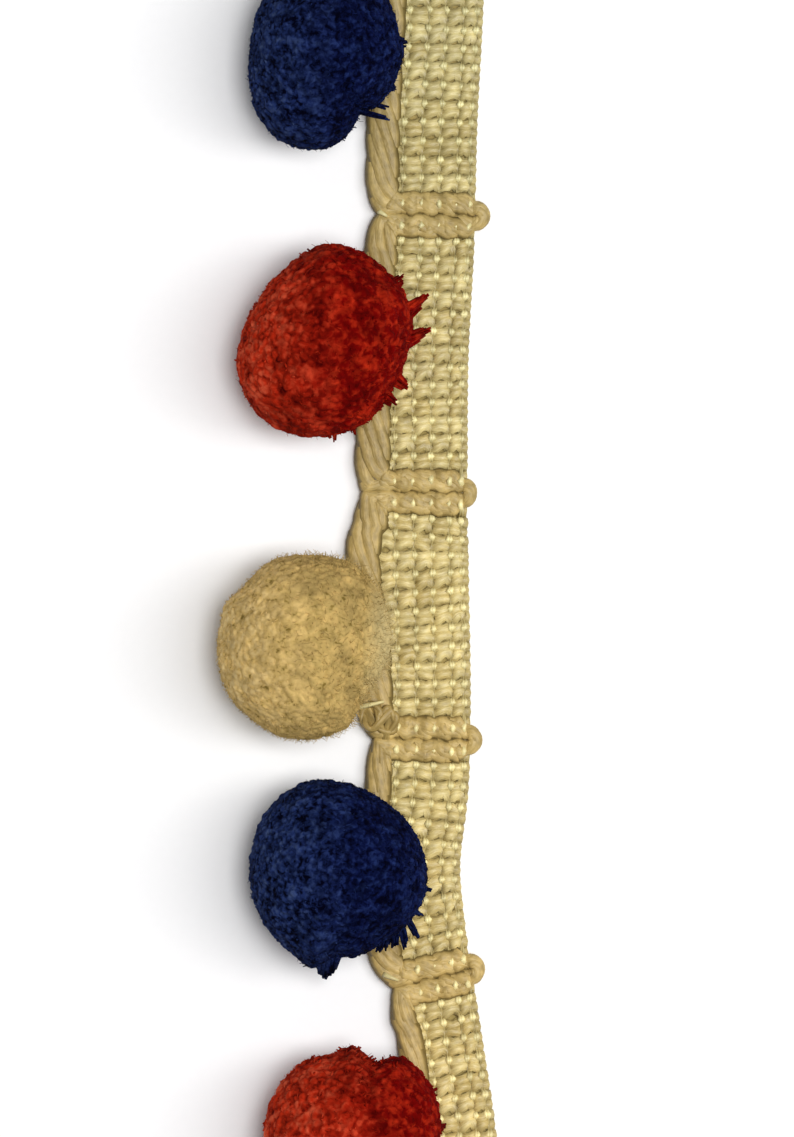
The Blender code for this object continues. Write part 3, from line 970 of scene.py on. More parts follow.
    def _rows(self, top: float, bottom: float) -> list[tuple[float, float, bool]]:
        """Share a stretch among whole rows.

        Args:
            top: Its upper end.
            bottom: Its lower end.

        Returns:
            The y where each row starts, its pitch and False, for no pass.
        """
        count = max(1, round((top - bottom) / self.row_pitch))
        pitch = (top - bottom) / count
        return [(top - i * pitch, pitch, False) for i in range(count)]

    def build(self, finishes: dict[str, bpy.types.Material]) -> list[bpy.types.Object]:
        """Build the heading's pieces.

        Args:
            finishes: Materials by name.

        Returns:
            The ground, the weft and the warp.
        """
        ground = self._ground(finishes["ground"])
        weft = self._weft(finishes["weft"])
        warp = self._warp(finishes["warp"])
        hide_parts(HEADING_NODE)
        return [ground, weft, warp]

    def _ground(self, material: bpy.types.Material) -> bpy.types.Object:
        """Build the thin ground that closes the heading between its threads.

        Args:
            material: Its finish.

        Returns:
            The ground.
        """
        columns, rows = self.GRID
        bm = bmesh.new()
        bmesh.ops.create_grid(bm, x_segments=columns, y_segments=rows, size=1.0)
        points = np.array([vert.co for vert in bm.verts])
        y = points[:, 1] * CUT_END * self.ground_length
        across = points[:, 0] * (self.course.half_width(y) - self.ground_inset)
        placed = self.course.place(y, across, np.full(len(y), self.ground_high))
        for vert, point in zip(bm.verts, placed):
            vert.co = point
        mesh = bpy.data.meshes.new("heading_ground")
        bm.to_mesh(mesh)
        bm.free()
        mesh.shade_smooth()
        mesh.materials.append(material)
        obj = show(bpy.data.objects.new("heading_ground", mesh))
        solid = obj.modifiers.new("Thickness", "SOLIDIFY")
        solid.thickness = self.ground_high - self.ground_low
        solid.offset = -1
        return obj

    def _weft(self, material: bpy.types.Material) -> bpy.types.Object:
        """Lay each weft thread over the front, round both edges and back behind.

        Args:
            material: Its finish.

        Returns:
            The weft.
        """
        rows: dict[int, list[tuple[np.ndarray, ...]]] = {}
        for start, pitch, is_pass in self.beats():
            half = float(self.course.half_width(start - pitch / 2))
            bounds = [-half, *chains_across(half), half - self.front_inset]
            stops, swell, own = [], [], []
            for low, high in zip(bounds, bounds[1:]):
                count = next((points for width, points in self.CELL_POINTS if high - low > width), 1)
                parts = np.arange(count) / count
                stops += list(low + (high - low) * parts)
                swell += list(np.sin(math.pi * parts) * min(1, (high - low) / self.full_cell))
                own += [self.rng.normal(size=3)] * count
            swell[0] = self.CORD_SWELL
            stops.append(bounds[-1])
            swell.append(self.EDGE_SWELL)
            own.append(np.zeros(3))
            cells = np.array(stops), np.array(swell), np.array(own)
            for thread in self._weft_row(start, pitch, half, *cells, is_pass):
                rows.setdefault(len(thread[0]), []).append(thread)
        strands = StrandMesh(self.rng)
        for length, threads in rows.items():
            paths, wides, highs, depths, tints = (np.array(column) for column in zip(*threads))
            axes = round_axes(paths, np.array((0.0, 1.0, 0.0)), wides, highs)
            strands.add(Tube(self.THREAD_SIDES, length), paths, axes, depths, tints)
        return strands.piece("heading_weft", material)

    def _weft_row(
        self,
        start: float,
        pitch: float,
        half: float,
        stops: np.ndarray,
        swell: np.ndarray,
        own: np.ndarray,
        is_pass: bool,
    ) -> list[tuple[np.ndarray, ...]]:
        """Lay one row's threads.

        Args:
            start: The row's upper side.
            pitch: Its share of the heading's length.
            half: Half of the heading's width there.
            stops: Places across the front where each thread has a point.
            swell: How far the row swells up at each of them, from 0 at a chain to 1 between two.
            own: Each cell's own draws for its slant, height and shade.
            is_pass: Whether the cord lies over it.

        Returns:
            Path, half widths, half heights, depths and shades of each thread.
        """
        made = []
        middle = start - pitch / 2
        rise, bunched = swell**self.RISE_POWER, swell**self.BUNCH_POWER
        climb = np.concatenate([np.diff(swell), [0]]) * -self.CLIMB
        slant = self.slant * (1 + self.OWN_SLANT * own[:, 0])
        lift = self.OWN_LIFT * own[:, 1]
        along, up = self.STIR
        share, least = self.THREAD_TINT
        scale = pitch / self.row_pitch
        turn = np.linspace(math.pi / 2, -math.pi / 2, self.TURN_POINTS + 2)[1:-1]
        behind = np.linspace(half - self.back_inset, -half, self.BACK_POINTS)
        for strand in range(self.row_strands):
            side = strand - (self.row_strands - 1) / 2
            bunch = side * (self.spread + (self.puffed - self.spread) * bunched) * scale
            shift = self.OWN_SHIFT * own[:, 2] + self.rng.normal(0, along, len(stops))
            y = middle + bunch + slant * climb * (self.UNEVEN_CLIMB - self.UNEVEN_CLIMB * side) + shift
            y_edge = middle + side * self.spread * scale
            y[[0, -1]] = y_edge
            if is_pass:
                z = np.full(len(stops), self.under_cord)
            else:
                crown = self.crest + lift - self.side_drop * abs(side)
                z = self.pressed + (crown - self.pressed) * rise + self.rng.normal(0, up, len(stops))
            centre, reach = (z[-1] + self.back) / 2, (z[-1] - self.back) / 2
            round_edge = list(zip(self.bulge * np.cos(turn), reach * np.sin(turn)))
            right = [(y_edge, half - self.turn_inset + out, centre + high) for out, high in round_edge]
            left = [(y_edge, -half - out, centre - high) for out, high in round_edge]
            back = [(y_edge, across, self.back) for across in behind]
            lead = back[self.BACK_POINTS // 2 :] + left
            points = np.array(lead + list(zip(y, stops, z)) + right + back[: self.BACK_POINTS // 2 + 1])
            front = slice(len(lead), len(lead) + len(stops))
            path = self.course.place(points[:, 0], points[:, 1], points[:, 2])
            wide = np.full(len(points), self.strand_wide * scale)
            wide[front] *= 1 + self.SPREAD_WIDER - self.SPREAD_WIDER * bunched
            high = np.full(len(points), self.thin_back)
            if not is_pass:
                high[front] = self.thin_front + (self.strand_high - self.thin_front) * rise
            # Painted shade: the depth falls round the edges, behind and in the valleys under the chains,
            # darkening the thread there.
            depth, tint = np.full(len(points), self.UNSEEN_DEPTH), np.full(len(points), self.rng.random())
            depth[front] = self.VALLEY_DEPTH + (1 - self.VALLEY_DEPTH) * rise
            tint[front] = np.clip(tint[front] * share + least + self.OWN_TINT * own[:, 2], 0, 1)
            made.append((path, wide, high, depth, tint))
        return made

    def _warp(self, material: bpy.types.Material) -> bpy.types.Object:
        """Lay each warp chain's two plies, which flash up over every row and pass, and a flat chain behind.

        Args:
            material: Its finish.

        Returns:
            The warp, with the loose bright threads over the cord.
        """
        strands = StrandMesh(self.rng)
        offsets = np.array(self.FLASH_STEPS)
        thin, swell = self.PLY_GIRTH
        low, wave = self.behind
        beats = self.beats()
        for column in CHAINS:
            rows = []
            for number, (start, pitch, is_pass) in enumerate(beats):
                half = float(self.course.half_width(start - pitch / 2))
                if 2 * half - column < EDGE_ROOM:
                    continue
                crest = self.pass_crest if is_pass else self.chain_crest
                dip = self.pass_dip if is_pass else self.chain_dip
                phases = offsets + (0.5 if is_pass else self.flash_at) + self.rng.normal(0, self.PHASE_STIR)
                longer = self.PASS_LONGER if is_pass else 1
                flash = np.exp(-((offsets / self.flash_long / longer) ** 2))
                least = self.PASS_LEAST if is_pass else self.FLASH_LEAST
                flash = flash * np.clip(self.rng.normal(*self.FLASH_DRAW), least, self.FLASH_MOST)
                height = dip + (crest - dip) * flash
                twist = (number + phases) * math.pi + self.rng.normal(0, self.TWIST_STIR)
                rows.append(np.stack([start - pitch * phases, height, twist, flash]))
            y, z, twist, flash = np.concatenate(rows, axis=1)
            across = self.course.half_width(y) - column + self.rng.normal(0, self.CHAIN_STIR, len(y))
            for ply in (0, math.pi):
                sideways = self.ply_sway * np.cos(twist + ply)
                height = z + self.ply_rise * np.sin(twist + ply)
                path = self.course.place(y, across + sideways, height)[None]
                radius = self.chain_radius * (thin + swell * flash)[None]
                axes = round_axes(path, np.array((1.0, 0.0, 0.0)), radius, radius)
                # Painted glint and shade: a ply takes its full pale colour where it flashes up, and the deep
                # colour between.
                depth = self.DIP_DEPTH + (1 - self.DIP_DEPTH) * flash**self.DIP_POWER
                strands.add(Tube(self.THREAD_SIDES, len(y)), path, axes, depth[None], np.ones((1, 1)))
                behind = low - wave * np.cos(2 * twist[::2])
                path = self.course.place(y[::2], (across + sideways)[::2], behind)[None]
                axes = round_axes(path, np.array((1.0, 0.0, 0.0)), self.behind_radius, self.behind_radius)
                strands.add(Tube(self.BEHIND_SIDES, path.shape[1]), path, axes, self.BEHIND_DEPTH)
        count = self.STRAY_POINTS
        for ends in STRAYS:
            path = np.linspace(*np.array(ends) * MM, count)[None]
            path[..., 2] += self.stray_arch * np.sin(np.linspace(0, math.pi, count))
            high = np.linspace(*self.stray_high, count) * MM
            axes = round_axes(path, np.array((0.0, 0.0, 1.0)), self.stray_wide, high)
            strands.add(Tube(self.THREAD_SIDES, count), path, axes, self.STRAY_DEPTH, np.ones((1, 1)))
        return strands.piece("heading_warp", material)


# ---------------------------------------------------------------- edge cord


@dataclass
class EdgeCord:
    """The soft cord of slack twisted strands that edges the heading.

    Args:
        course: The heading's middle line and half width.
        strands: Strands round the cord.
        strand_radius: Of a strand where the cord lies free.
        twist: Radians of turn for each metre of run.
        free_thickness: Thickness of a scallop.
        free_bottom: Height of its underside.
        pass_thickness: Thickness over the heading.
        pass_bottom: Height of its underside there.
        pass_gap: From a knot's middle line to each pass, below 0 where the two overlap.
        overlap: How far the cord lies over the heading's left edge.
        turn_radius: Outside radius of the turn at the right edge.
        turn_hole: Inside radius of the same.
        taper: Run in which a pass narrows to its turn.
        above: Height of a scallop's rounding above a knot.
        under: The same below a knot.
        pinch: Part of its thickness that a pass loses under a chain.
        pinch_reach: How far to each side of the chain it does.
        step: Run between the stations of a scallop.
        pass_step: The same in a pass.
        seam: How much further over the knot's middle line than its pass a scallop's end lies.
        corner_out: How far outside the band a corner's near side ends.
        pass_out: How far a pass's outer side lies past the band, and how much less at a chain.
        pass_in: How far its inner side draws in at a chain.
        seam_wave: Height and pace of the wavy seam between two passes.
        kink_size: Half width and half length of a kink's loop, in millimetres.
        kink_height: Its middle, its wave and both its ends, in millimetres.
        kink_ply: How far a ply of it lies to each side, and up and down, in millimetres.
        kink_thick: Half width and half height of such a ply.
        stations: Left side, right side, thickness, height of the underside, how far it is in a pass from 0
            to 1 and how much a chain presses it, for each place along the run.
        rng: Source of its random draws.
    """

    course: HeadingCourse
    strands: int = 6
    strand_radius: float = 1.10 * MM
    twist: float = 0.28 / MM
    free_thickness: float = 2.0 * MM
    free_bottom: float = 0.15 * MM
    pass_thickness: float = 1.2 * MM
    pass_bottom: float = 0.8 * MM
    pass_gap: float = -0.22 * MM
    overlap: float = 0.28 * MM
    turn_radius: float = 2.0 * MM
    turn_hole: float = 0.02 * MM
    taper: float = 0.9 * MM
    above: float = 4.8 * MM
    under: float = 5.2 * MM
    pinch: float = 0.50
    pinch_reach: float = 0.55 * MM
    step: float = 1.0 * MM
    pass_step: float = 0.5 * MM
    seam: float = 0.12 * MM
    corner_out: float = 0.1 * MM
    pass_out: tuple[float, float] = (0.15 * MM, 0.25 * MM)
    pass_in: float = 0.1 * MM
    seam_wave: tuple[float, float] = (0.22 * MM, 2.3 / MM)
    kink_size: tuple[float, float] = (1.1, 1.6)
    kink_height: tuple[float, float, float] = (2.15, 0.35, 1.2)
    kink_ply: tuple[float, float] = (0.20, 0.15)
    kink_thick: tuple[float, float] = (0.40 * MM, 0.44 * MM)
    stations: list[tuple[np.ndarray, np.ndarray, float, float, float, float]] = field(default_factory=list)
    rng: np.random.Generator = field(default_factory=lambda: np.random.default_rng(23))

    TURN_STEPS: ClassVar[int] = 12  # of a corner or a turn
    CREASE_AT: ClassVar[float] = 0.66  # of a corner, where its far side has reached the crease
    CORNER_BEND: ClassVar[float] = 1.3  # how fully a corner is rounded
    PASS_STARTS: ClassVar[tuple[float, float]] = (1.5, 0.3)  # how fast a corner becomes a pass, and how late
    # Each loop's middle, in millimetres, with 1 or -1 for its way round, and where the kink starts and ends.
    KINK_LOOPS: ClassVar[tuple[tuple[float, float, int], ...]] = ((-7.9, -18.2, 1), (-5.8, -18.8, -1))
    KINK_ENDS: ClassVar[tuple[tuple[float, float], ...]] = ((-9.8, -15.2), (-6.4, -23.2))
    LOOP_TURN: ClassVar[tuple[int, int, int]] = (-60, 300, 22)  # degrees from start to end, and points
    KINK_WAVES: ClassVar[int] = 5  # half waves of its height
    KINK_TWIST: ClassVar[int] = 9  # half turns of its plies
    KINK_DEPTH: ClassVar[float] = 0.85  # of the kink, from 0 in a pit to 1
    KINK_SIDES: ClassVar[int] = 6  # faces round a ply of it
    STRAND_SIDES: ClassVar[int] = 7  # the same round a strand of the cord
    CORE_SIDES: ClassVar[int] = 8  # and round its core
    ROOM: ClassVar[float] = 0.7  # of its share of the girth that a strand's radius may take
    PASS_TWIST: ClassVar[float] = 1.6  # how much faster the cord turns in a pass
    WAVER: ClassVar[tuple[float, float]] = (0.12, 7 * MM)  # of a strand's angle, in radians, and its run
    THICK: ClassVar[tuple[float, float]] = (0.88, 1.12)  # thinnest and thickest strand
    PASS_UNEVEN: ClassVar[float] = 0.08  # of a strand's thickness in a pass
    STRAND_FLAT: ClassVar[tuple[float, float]] = (0.72, 0.12)  # height beside its width; less in a pass
    STRAND_SINK: ClassVar[float] = 0.6  # of its radius that a strand lies inside the cord's top
    PRESSED_SHADE: ClassVar[float] = 0.25  # loss of depth under a chain, a painted shade in the dent
    PASS_LESS_SHADE: ClassVar[float] = 0.25  # gain of it in a pass, so less painted shade there
    SHADE_MOST: ClassVar[float] = 0.8  # of a strand
    PASS_SHADE: ClassVar[tuple[float, float]] = (0.65, 0.35)  # more of it in a pass: usual and spread
    CORE: ClassVar[tuple[float, float, float]] = (0.8, 0.72, 0.3)  # width and height in the cord, and depth, a painted shade on the core

    def _add(self, left: tuple[float, float], right: tuple[float, float], in_pass: float) -> None:
        """Add a station.

        Args:
            left: Its left side as (y, across).
            right: Its right side as (y, across).
            in_pass: 0 in a scallop and 1 over the heading.
        """
        thickness = float(blend(self.free_thickness, self.pass_thickness, in_pass))
        bottom = float(blend(self.free_bottom, self.pass_bottom, in_pass))
        pinch = self._pinch((left[0] + right[0]) / 2, (left[1] + right[1]) / 2) * in_pass
        ends = self.course.place(*left, 0.0), self.course.place(*right, 0.0)
        self.stations.append((*ends, thickness * (1 - self.pinch * pinch), bottom, in_pass, pinch))

    def _pinch(self, y: float, across: float) -> float:
        """Return how much a chain presses there, from 0 to 1."""
        chains = np.array(chains_across(float(self.course.half_width(y))))
        return min(1.0, float(np.exp(-(((chains - across) / self.pinch_reach) ** 2)).sum()))

    def _edge(self, y: float) -> float:
        """Return where the heading's left edge lies across its middle line."""
        return -float(self.course.half_width(y))

    def _scallop(self, top: float, bottom: float, first: float, last: float) -> None:
        """Lay the cord freely down the left edge, from one width to another."""
        count = max(1, round((top - bottom) / self.step))
        for i in range(1, count):
            part = i / count
            y = top + (bottom - top) * part
            width = float(blend(first, last, part))
            self._add((y, self._edge(y) + self.overlap), (y, self._edge(y) - width), 0)

    def _corner(self, knot: Knot, width: float, rise: float, inward: int) -> None:
        """Round a scallop off to the crease and along into a pass, or back out of one.

        Args:
            knot: Where it is.
            width: Of the scallop.
            rise: Height of the rounding.
            inward: 1 on the way into the upper pass and -1 on the way out of the lower one.
        """
        edge = self._edge(knot.y)
        seam = knot.y + inward * (self.pass_gap - self.seam)
        shallow = width - knot.crease
        fast, late = self.PASS_STARTS
        for i in range(self.TURN_STEPS + 1):
            into = i / self.TURN_STEPS if inward > 0 else 1 - i / self.TURN_STEPS
            turn = min(1.0, into / self.CREASE_AT) * math.pi / 2
            along = max(0.0, (into - self.CREASE_AT) / (1 - self.CREASE_AT))
            far_y = seam + inward * rise * (1 - math.sin(turn) ** self.CORNER_BEND)
            rounding = shallow * max(0.0, math.cos(turn)) ** self.CORNER_BEND
            far = (far_y, edge - knot.crease * (1 - along) - rounding)
            level = BAND_HALF + self.corner_out + (rise - BAND_HALF) * (1 - into) ** 2
            near = (knot.y + inward * level, edge + self.overlap * math.cos(into * math.pi / 2))
            self._add(near, far, min(1.0, max(0.0, fast * into - late)))

    def _crossing(self, knot: Knot) -> None:
        """Cross the heading, turn at its right edge and come back.

        Args:
            knot: Where it crosses.
        """
        y = knot.y
        start = self._edge(y)
        centre = float(self.course.half_width(y)) + knot.picot - self.turn_radius
        steps = round((centre - start) / self.pass_step)
        proud, drawn = self.pass_out
        high, pace = self.seam_wave
        for way in (1, -1):
            for i in range(1, steps):
                part = i / steps if way > 0 else 1 - i / steps
                across = start + (centre - start) * part
                taper = max(0.0, 1 - (centre - across) / self.taper)
                pinch = self._pinch(y, across)
                far = float(blend(BAND_HALF + proud - drawn * pinch, self.turn_radius, taper))
                near = float(blend(self.pass_gap + self.pass_in * pinch, self.turn_hole, taper))
                near += way * high * math.sin(across * pace) * (1 - taper)
                self._add((y + way * far, across), (y + way * near, across), 1)
            if way > 0:
                for i in range(self.TURN_STEPS + 1):
                    angle = math.pi / 2 - math.pi * i / self.TURN_STEPS
                    up, out = math.sin(angle), math.cos(angle)
                    self._add(
                        (y + self.turn_radius * up, centre + self.turn_radius * out),
                        (y + self.turn_hole * up, centre + self.turn_hole * out),
                        1,
                    )

    def _lay(self) -> None:
        """Lay the cord's whole run from the top cut to the bottom cut."""
        first = KNOTS[0].end
        self._add((CUT_END, self._edge(CUT_END) + self.overlap), (CUT_END, self._edge(CUT_END) - first), 0)
        for index, knot in enumerate(KNOTS):
            above = KNOTS[index - 1].end if index else first
            self._corner(knot, above, self.above, 1)
            self._crossing(knot)
            self._corner(knot, knot.below, self.under, -1)
            if index + 1 < len(KNOTS):
                self._scallop(knot.y - self.under, KNOTS[index + 1].y + self.above, knot.below, knot.end)
        last = KNOTS[-1].below
        self._add((-CUT_END, self._edge(-CUT_END) + self.overlap), (-CUT_END, self._edge(-CUT_END) - last), 0)

    def _kink(self, mesh: StrandMesh) -> None:
        """Lay the slack kink of two small loops that has sprung out of the third scallop.

        Args:
            mesh: Where it goes.
        """
        turns = np.radians(np.linspace(*self.LOOP_TURN))
        wide, long = self.kink_size
        loops = []
        for x, y, way in self.KINK_LOOPS:
            loops.append(np.stack([x + wide * np.cos(turns * way), y + long * np.sin(turns * way)], axis=-1))
        first, last = self.KINK_ENDS
        plan = np.concatenate([[first], *loops, [last]])
        middle, wave, foot = self.kink_height
        aside, up = self.kink_ply
        height = middle + wave * np.sin(np.linspace(0, self.KINK_WAVES * math.pi, len(plan)))
        height[[0, -1]] = foot
        for ply in (0, math.pi):
            turned = np.linspace(0, self.KINK_TWIST * math.pi, len(plan)) + ply
            beside = aside * np.stack([np.cos(turned), np.sin(turned)], axis=-1)
            path = np.column_stack([plan + beside, height + up * np.sin(turned)])[None] * MM
            axes = round_axes(path, np.array((0.0, 0.0, 1.0)), *self.kink_thick)
            mesh.add(Tube(self.KINK_SIDES, len(plan)), path, axes, self.KINK_DEPTH)

    def build(self, material: bpy.types.Material) -> bpy.types.Object:
        """Build the cord.

        Args:
            material: Its finish.

        Returns:
            The cord, standing for its CAD node.
        """
        self._lay()
        left, right, thickness, bottom, in_pass, pinch = map(np.array, zip(*self.stations))
        half_high = thickness / 2
        middle = (left + right) / 2
        middle[:, 2] = bottom + half_high
        side = unit(right - left)
        half_wide = np.linalg.norm(right - left, axis=1) / 2
        run = np.concatenate([[0], np.cumsum(np.linalg.norm(np.diff(middle, axis=0), axis=1))])
        girth = math.pi * np.sqrt((half_wide**2 + half_high**2) * 2)
        radius = np.minimum(self.strand_radius, girth / self.strands * self.ROOM)
        turned = np.cumsum(np.gradient(run) * (1 + self.PASS_TWIST * in_pass)) * self.twist
        up = np.broadcast_to(np.array((0.0, 0.0, 1.0)), side.shape)
        mesh = StrandMesh(self.rng)
        tube = Tube(self.STRAND_SIDES, len(middle))
        paths, firsts, seconds = [], [], []
        swing, pace = self.WAVER
        tall, flatter = self.STRAND_FLAT
        for number in range(self.strands):
            waver = swing * np.sin(run / pace + self.rng.uniform(0, 6.3))
            angle = turned + 2 * math.pi * number / self.strands + waver
            uneven = 1 + in_pass * self.rng.normal(0, self.PASS_UNEVEN, len(run))
            thick = radius * self.rng.uniform(*self.THICK) * uneven
            reach = side * ((half_wide - thick) * np.cos(angle))[:, None]
            height = up * ((half_high - thick * self.STRAND_SINK) * np.sin(angle))[:, None]
            paths.append(middle + reach + height)
            firsts.append(side * thick[:, None])
            seconds.append(up * (thick * (tall - flatter * in_pass))[:, None])
        # Painted shade: the strands darken where a chain presses a pass, and passes get less of this shade.
        pressed = (1 - self.PRESSED_SHADE * pinch) * (1 + self.PASS_LESS_SHADE * in_pass)
        shades = self.rng.uniform(0, self.SHADE_MOST, (self.strands, 1))
        shades = shades + in_pass * self.rng.normal(*self.PASS_SHADE, (self.strands, len(run)))
        mesh.add(tube, np.array(paths), (np.array(firsts), np.array(seconds)), pressed, shades)
        wide, high, depth = self.CORE
        core = (side * (half_wide * wide)[:, None])[None], (up * (half_high * high)[:, None])[None]
        mesh.add(Tube(self.CORE_SIDES, len(middle)), middle[None], core, depth)
        self._kink(mesh)
        piece = mesh.piece("edge_cord_strands", material)
        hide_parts(CORD_NODE)
        LOG.info("edge cord: %.0f mm of run", run[-1] / MM)
        return piece


# ---------------------------------------------------------------- pompoms


@dataclass(frozen=True)
class YarnCut:
    """How a wool's trimmed ends look.

    Args:
        tufts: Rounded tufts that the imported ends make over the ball.
        tuft_long: Half length of a tuft.
        tuft_wide: Half width of a tuft.
        tuft_high: How far a tuft swells out.
        tuft_uneven: How far one tuft stands past another.
        lumps: Unevenness of the ball as a whole, as a part of its radius.
        ends: Single yarn ends that show among the tufts.
        end_radius: Of one yarn end.
        end_length: How much of it shows.
        end_lean: How far it lies over, as a part of its length.
        comb: How strongly the ends on the heading's side all lie one way.
        hairs: Fine loose fibres over the ball.
        hair_length: Of such a fibre.
        haze: How many times longer they are on the heading's side.
    """

    tufts: int
    tuft_long: float
    tuft_wide: float
    tuft_high: float
    tuft_uneven: float
    lumps: float
    ends: int
    end_radius: float
    end_length: float
    end_lean: float
    comb: float
    hairs: int
    hair_length: float
    haze: float


@dataclass(frozen=True)
class Lock:
    """A pointed lock of longer ends that stands out of the ball.

    Args:
        x: Where its tip lies across the trim, in millimetres.
        y: Where its tip lies along the trim.
        width: Of its root.
        count: Number of ends.
        radius: Of one end.
        swing: How far round the ball its root lies from its tip, in degrees.
        blunt: Width of its tip, as a part of its root's.
    """

    x: float
    y: float
    width: float
    count: int
    radius: float
    swing: float = 0.0
    blunt: float = 0.2


@dataclass
class Pompom:
    """A ball of trimmed yarn ends, resting on the floor beside the heading.

    Args:
        node: The CAD node that it stands for.
        wool: Its wool.
        x: Its middle across the trim.
        y: Its middle along the trim.
        outline: Its trimmed radius in plan every 15 degrees from +X towards +Y, in millimetres.
        locks: Its longer locks.
        seed: Of its own random draws.
        free_reach: Above 1 where the free side's painted light colour reaches further over it.
        half_height: Half of its height.
        centre_height: Height of its middle.
        hair_root: How far inside the ball a loose fibre starts.
        hair_radius: Of such a fibre.
        skin: Gap of the ball to what it lies on.
        rest: Gap of an end to what it lies over.
        lock_drop: Height of a lock's tip from the ball's middle.
        lock_stir: How far chance moves the tips of a lock's ends.
    """

    node: str
    wool: Wool
    x: float
    y: float
    outline: tuple[float, ...]
    locks: tuple[Lock, ...]
    seed: int
    free_reach: float = 1.0
    half_height: float = 11.6 * MM
    centre_height: float = 10.5 * MM
    hair_root: float = 0.3 * MM
    hair_radius: float = 0.035 * MM
    skin: float = 0.02 * MM
    rest: float = 0.1 * MM
    lock_drop: float = -1.5 * MM
    lock_stir: float = 0.1 * MM

    WAVES: ClassVar[int] = 9  # slow waves that make the ball uneven
    WAVE_PACE: ClassVar[float] = 3.2  # of such a wave, in radians for each radius
    RIM_EVEN: ClassVar[float] = 0.6  # how much less uneven the ball is at its rim
    SHAKE: ClassVar[float] = 0.75  # of a direction, beside the gap to the next one
    STAND: ClassVar[tuple[float, float]] = (-0.25, 0.05)  # of an end past the ball, as a part of its length
    HAIR_REACH: ClassVar[tuple[float, float]] = (0.15, 1.0)  # shortest and longest loose fibre
    HAIR_LEAN: ClassVar[float] = 1.1  # how far a loose fibre lies over, as a part of its length
    FINENESS: ClassVar[int] = 7  # subdivisions of the ball
    NEAREST: ClassVar[int] = 6  # tufts that a place on the ball may belong to
    TUFT_SIZES: ClassVar[tuple[float, float]] = (0.8, 1.2)  # smallest and largest tuft
    PIT_AND_PEAK: ClassVar[tuple[float, float]] = (4, 80)  # percentiles of height, from depth 0 to depth 1; low depth is painted in shade
    END_STOPS: ClassVar[tuple[float, ...]] = (0.0, 0.6, 1.0)  # the points of an end, as parts of its length
    END_TAPER: ClassVar[tuple[float, ...]] = (1.0, 1.0, 0.6)  # its radius at each
    END_BEND: ClassVar[float] = 1.6  # how late an end bends over
    END_RADII: ClassVar[tuple[float, float]] = (0.75, 1.2)  # thinnest and thickest end
    END_LEANS: ClassVar[tuple[float, float]] = (0.3, 1.3)  # least and most bent end
    END_DEPTH: ClassVar[float] = 0.8  # at an end's bend, from 0 in a pit to 1; low depth is painted in shade
    END_SIDES: ClassVar[int] = 3  # faces round an end
    LOCK_SIDES: ClassVar[int] = 5  # the same in a lock
    LOCK_LEAN: ClassVar[float] = 0.05  # how far its ends lie over, as a part of their length
    COMBED: ClassVar[tuple[float, float, float]] = (0.85, 0.5, -0.2)  # the way that combed ends lie
    SINK_BELOW: ClassVar[float] = 4 * MM  # only ends this low
    SINK_RIGHT: ClassVar[float] = -11 * MM  # and right of here can meet the heading or the cord
    ABOVE_ALL: ClassVar[float] = 30 * MM  # height from which both are looked for
    LOCK_TILT: ClassVar[tuple[float, float]] = (-16, 24)  # of its roots, in degrees
    LOCK_ROOT: ClassVar[float] = 0.88  # of the ball's radius
    LOCK_RAGGED: ClassVar[tuple[float, float]] = (0.15, 0.75)  # loss of length: by chance and at its sides

    def __post_init__(self) -> None:
        """Work out the ball's centre and draw its slow unevenness."""
        self.rng = np.random.default_rng(self.seed)
        self.centre = np.array((self.x, self.y, self.centre_height))
        self.waves = self.rng.normal(0, self.WAVE_PACE, (self.WAVES, 3))
        self.shifts = self.rng.uniform(0, 2 * math.pi, self.WAVES)

    def _surface(self, ways: np.ndarray, cut: YarnCut) -> np.ndarray:
        """Find the trimmed ball's surface.

        Args:
            ways: Directions from its centre.
            cut: How its ends look.

        Returns:
            Its points in these directions, from its centre.
        """
        bearings = np.degrees(np.arctan2(ways[:, 1], ways[:, 0]))
        steps = np.arange(len(self.outline)) * 360 / len(self.outline)
        plan = np.interp(bearings, steps, self.outline, period=360) * MM
        level = 1 - ways[:, 2] ** 2
        radius = self.half_height + (plan - self.half_height) * level
        slow = np.cos(ways @ self.waves.T + self.shifts).sum(-1) / math.sqrt(self.WAVES)
        return ways * (radius * (1 + cut.lumps * slow * (1 - self.RIM_EVEN * level)))[:, None]

    def _ways(self, count: int) -> np.ndarray:
        """Spread directions evenly over the ball and shake them a little.

        Args:
            count: Number of directions.

        Returns:
            The directions.
        """
        i = np.arange(count) + 0.5
        z = 1 - 2 * i / count
        angle = math.pi * (1 + math.sqrt(5)) * i
        level = np.sqrt(1 - z * z)
        even = np.stack([level * np.cos(angle), level * np.sin(angle), z], axis=-1)
        return unit(even + self.rng.normal(0, self.SHAKE / math.sqrt(count), even.shape))

    def _lee(self, ways: np.ndarray) -> np.ndarray:
        """Return 1 for directions towards the heading and 0 for those on the free side."""
        return (0.5 + 0.5 * ways[:, 0]) ** self.free_reach

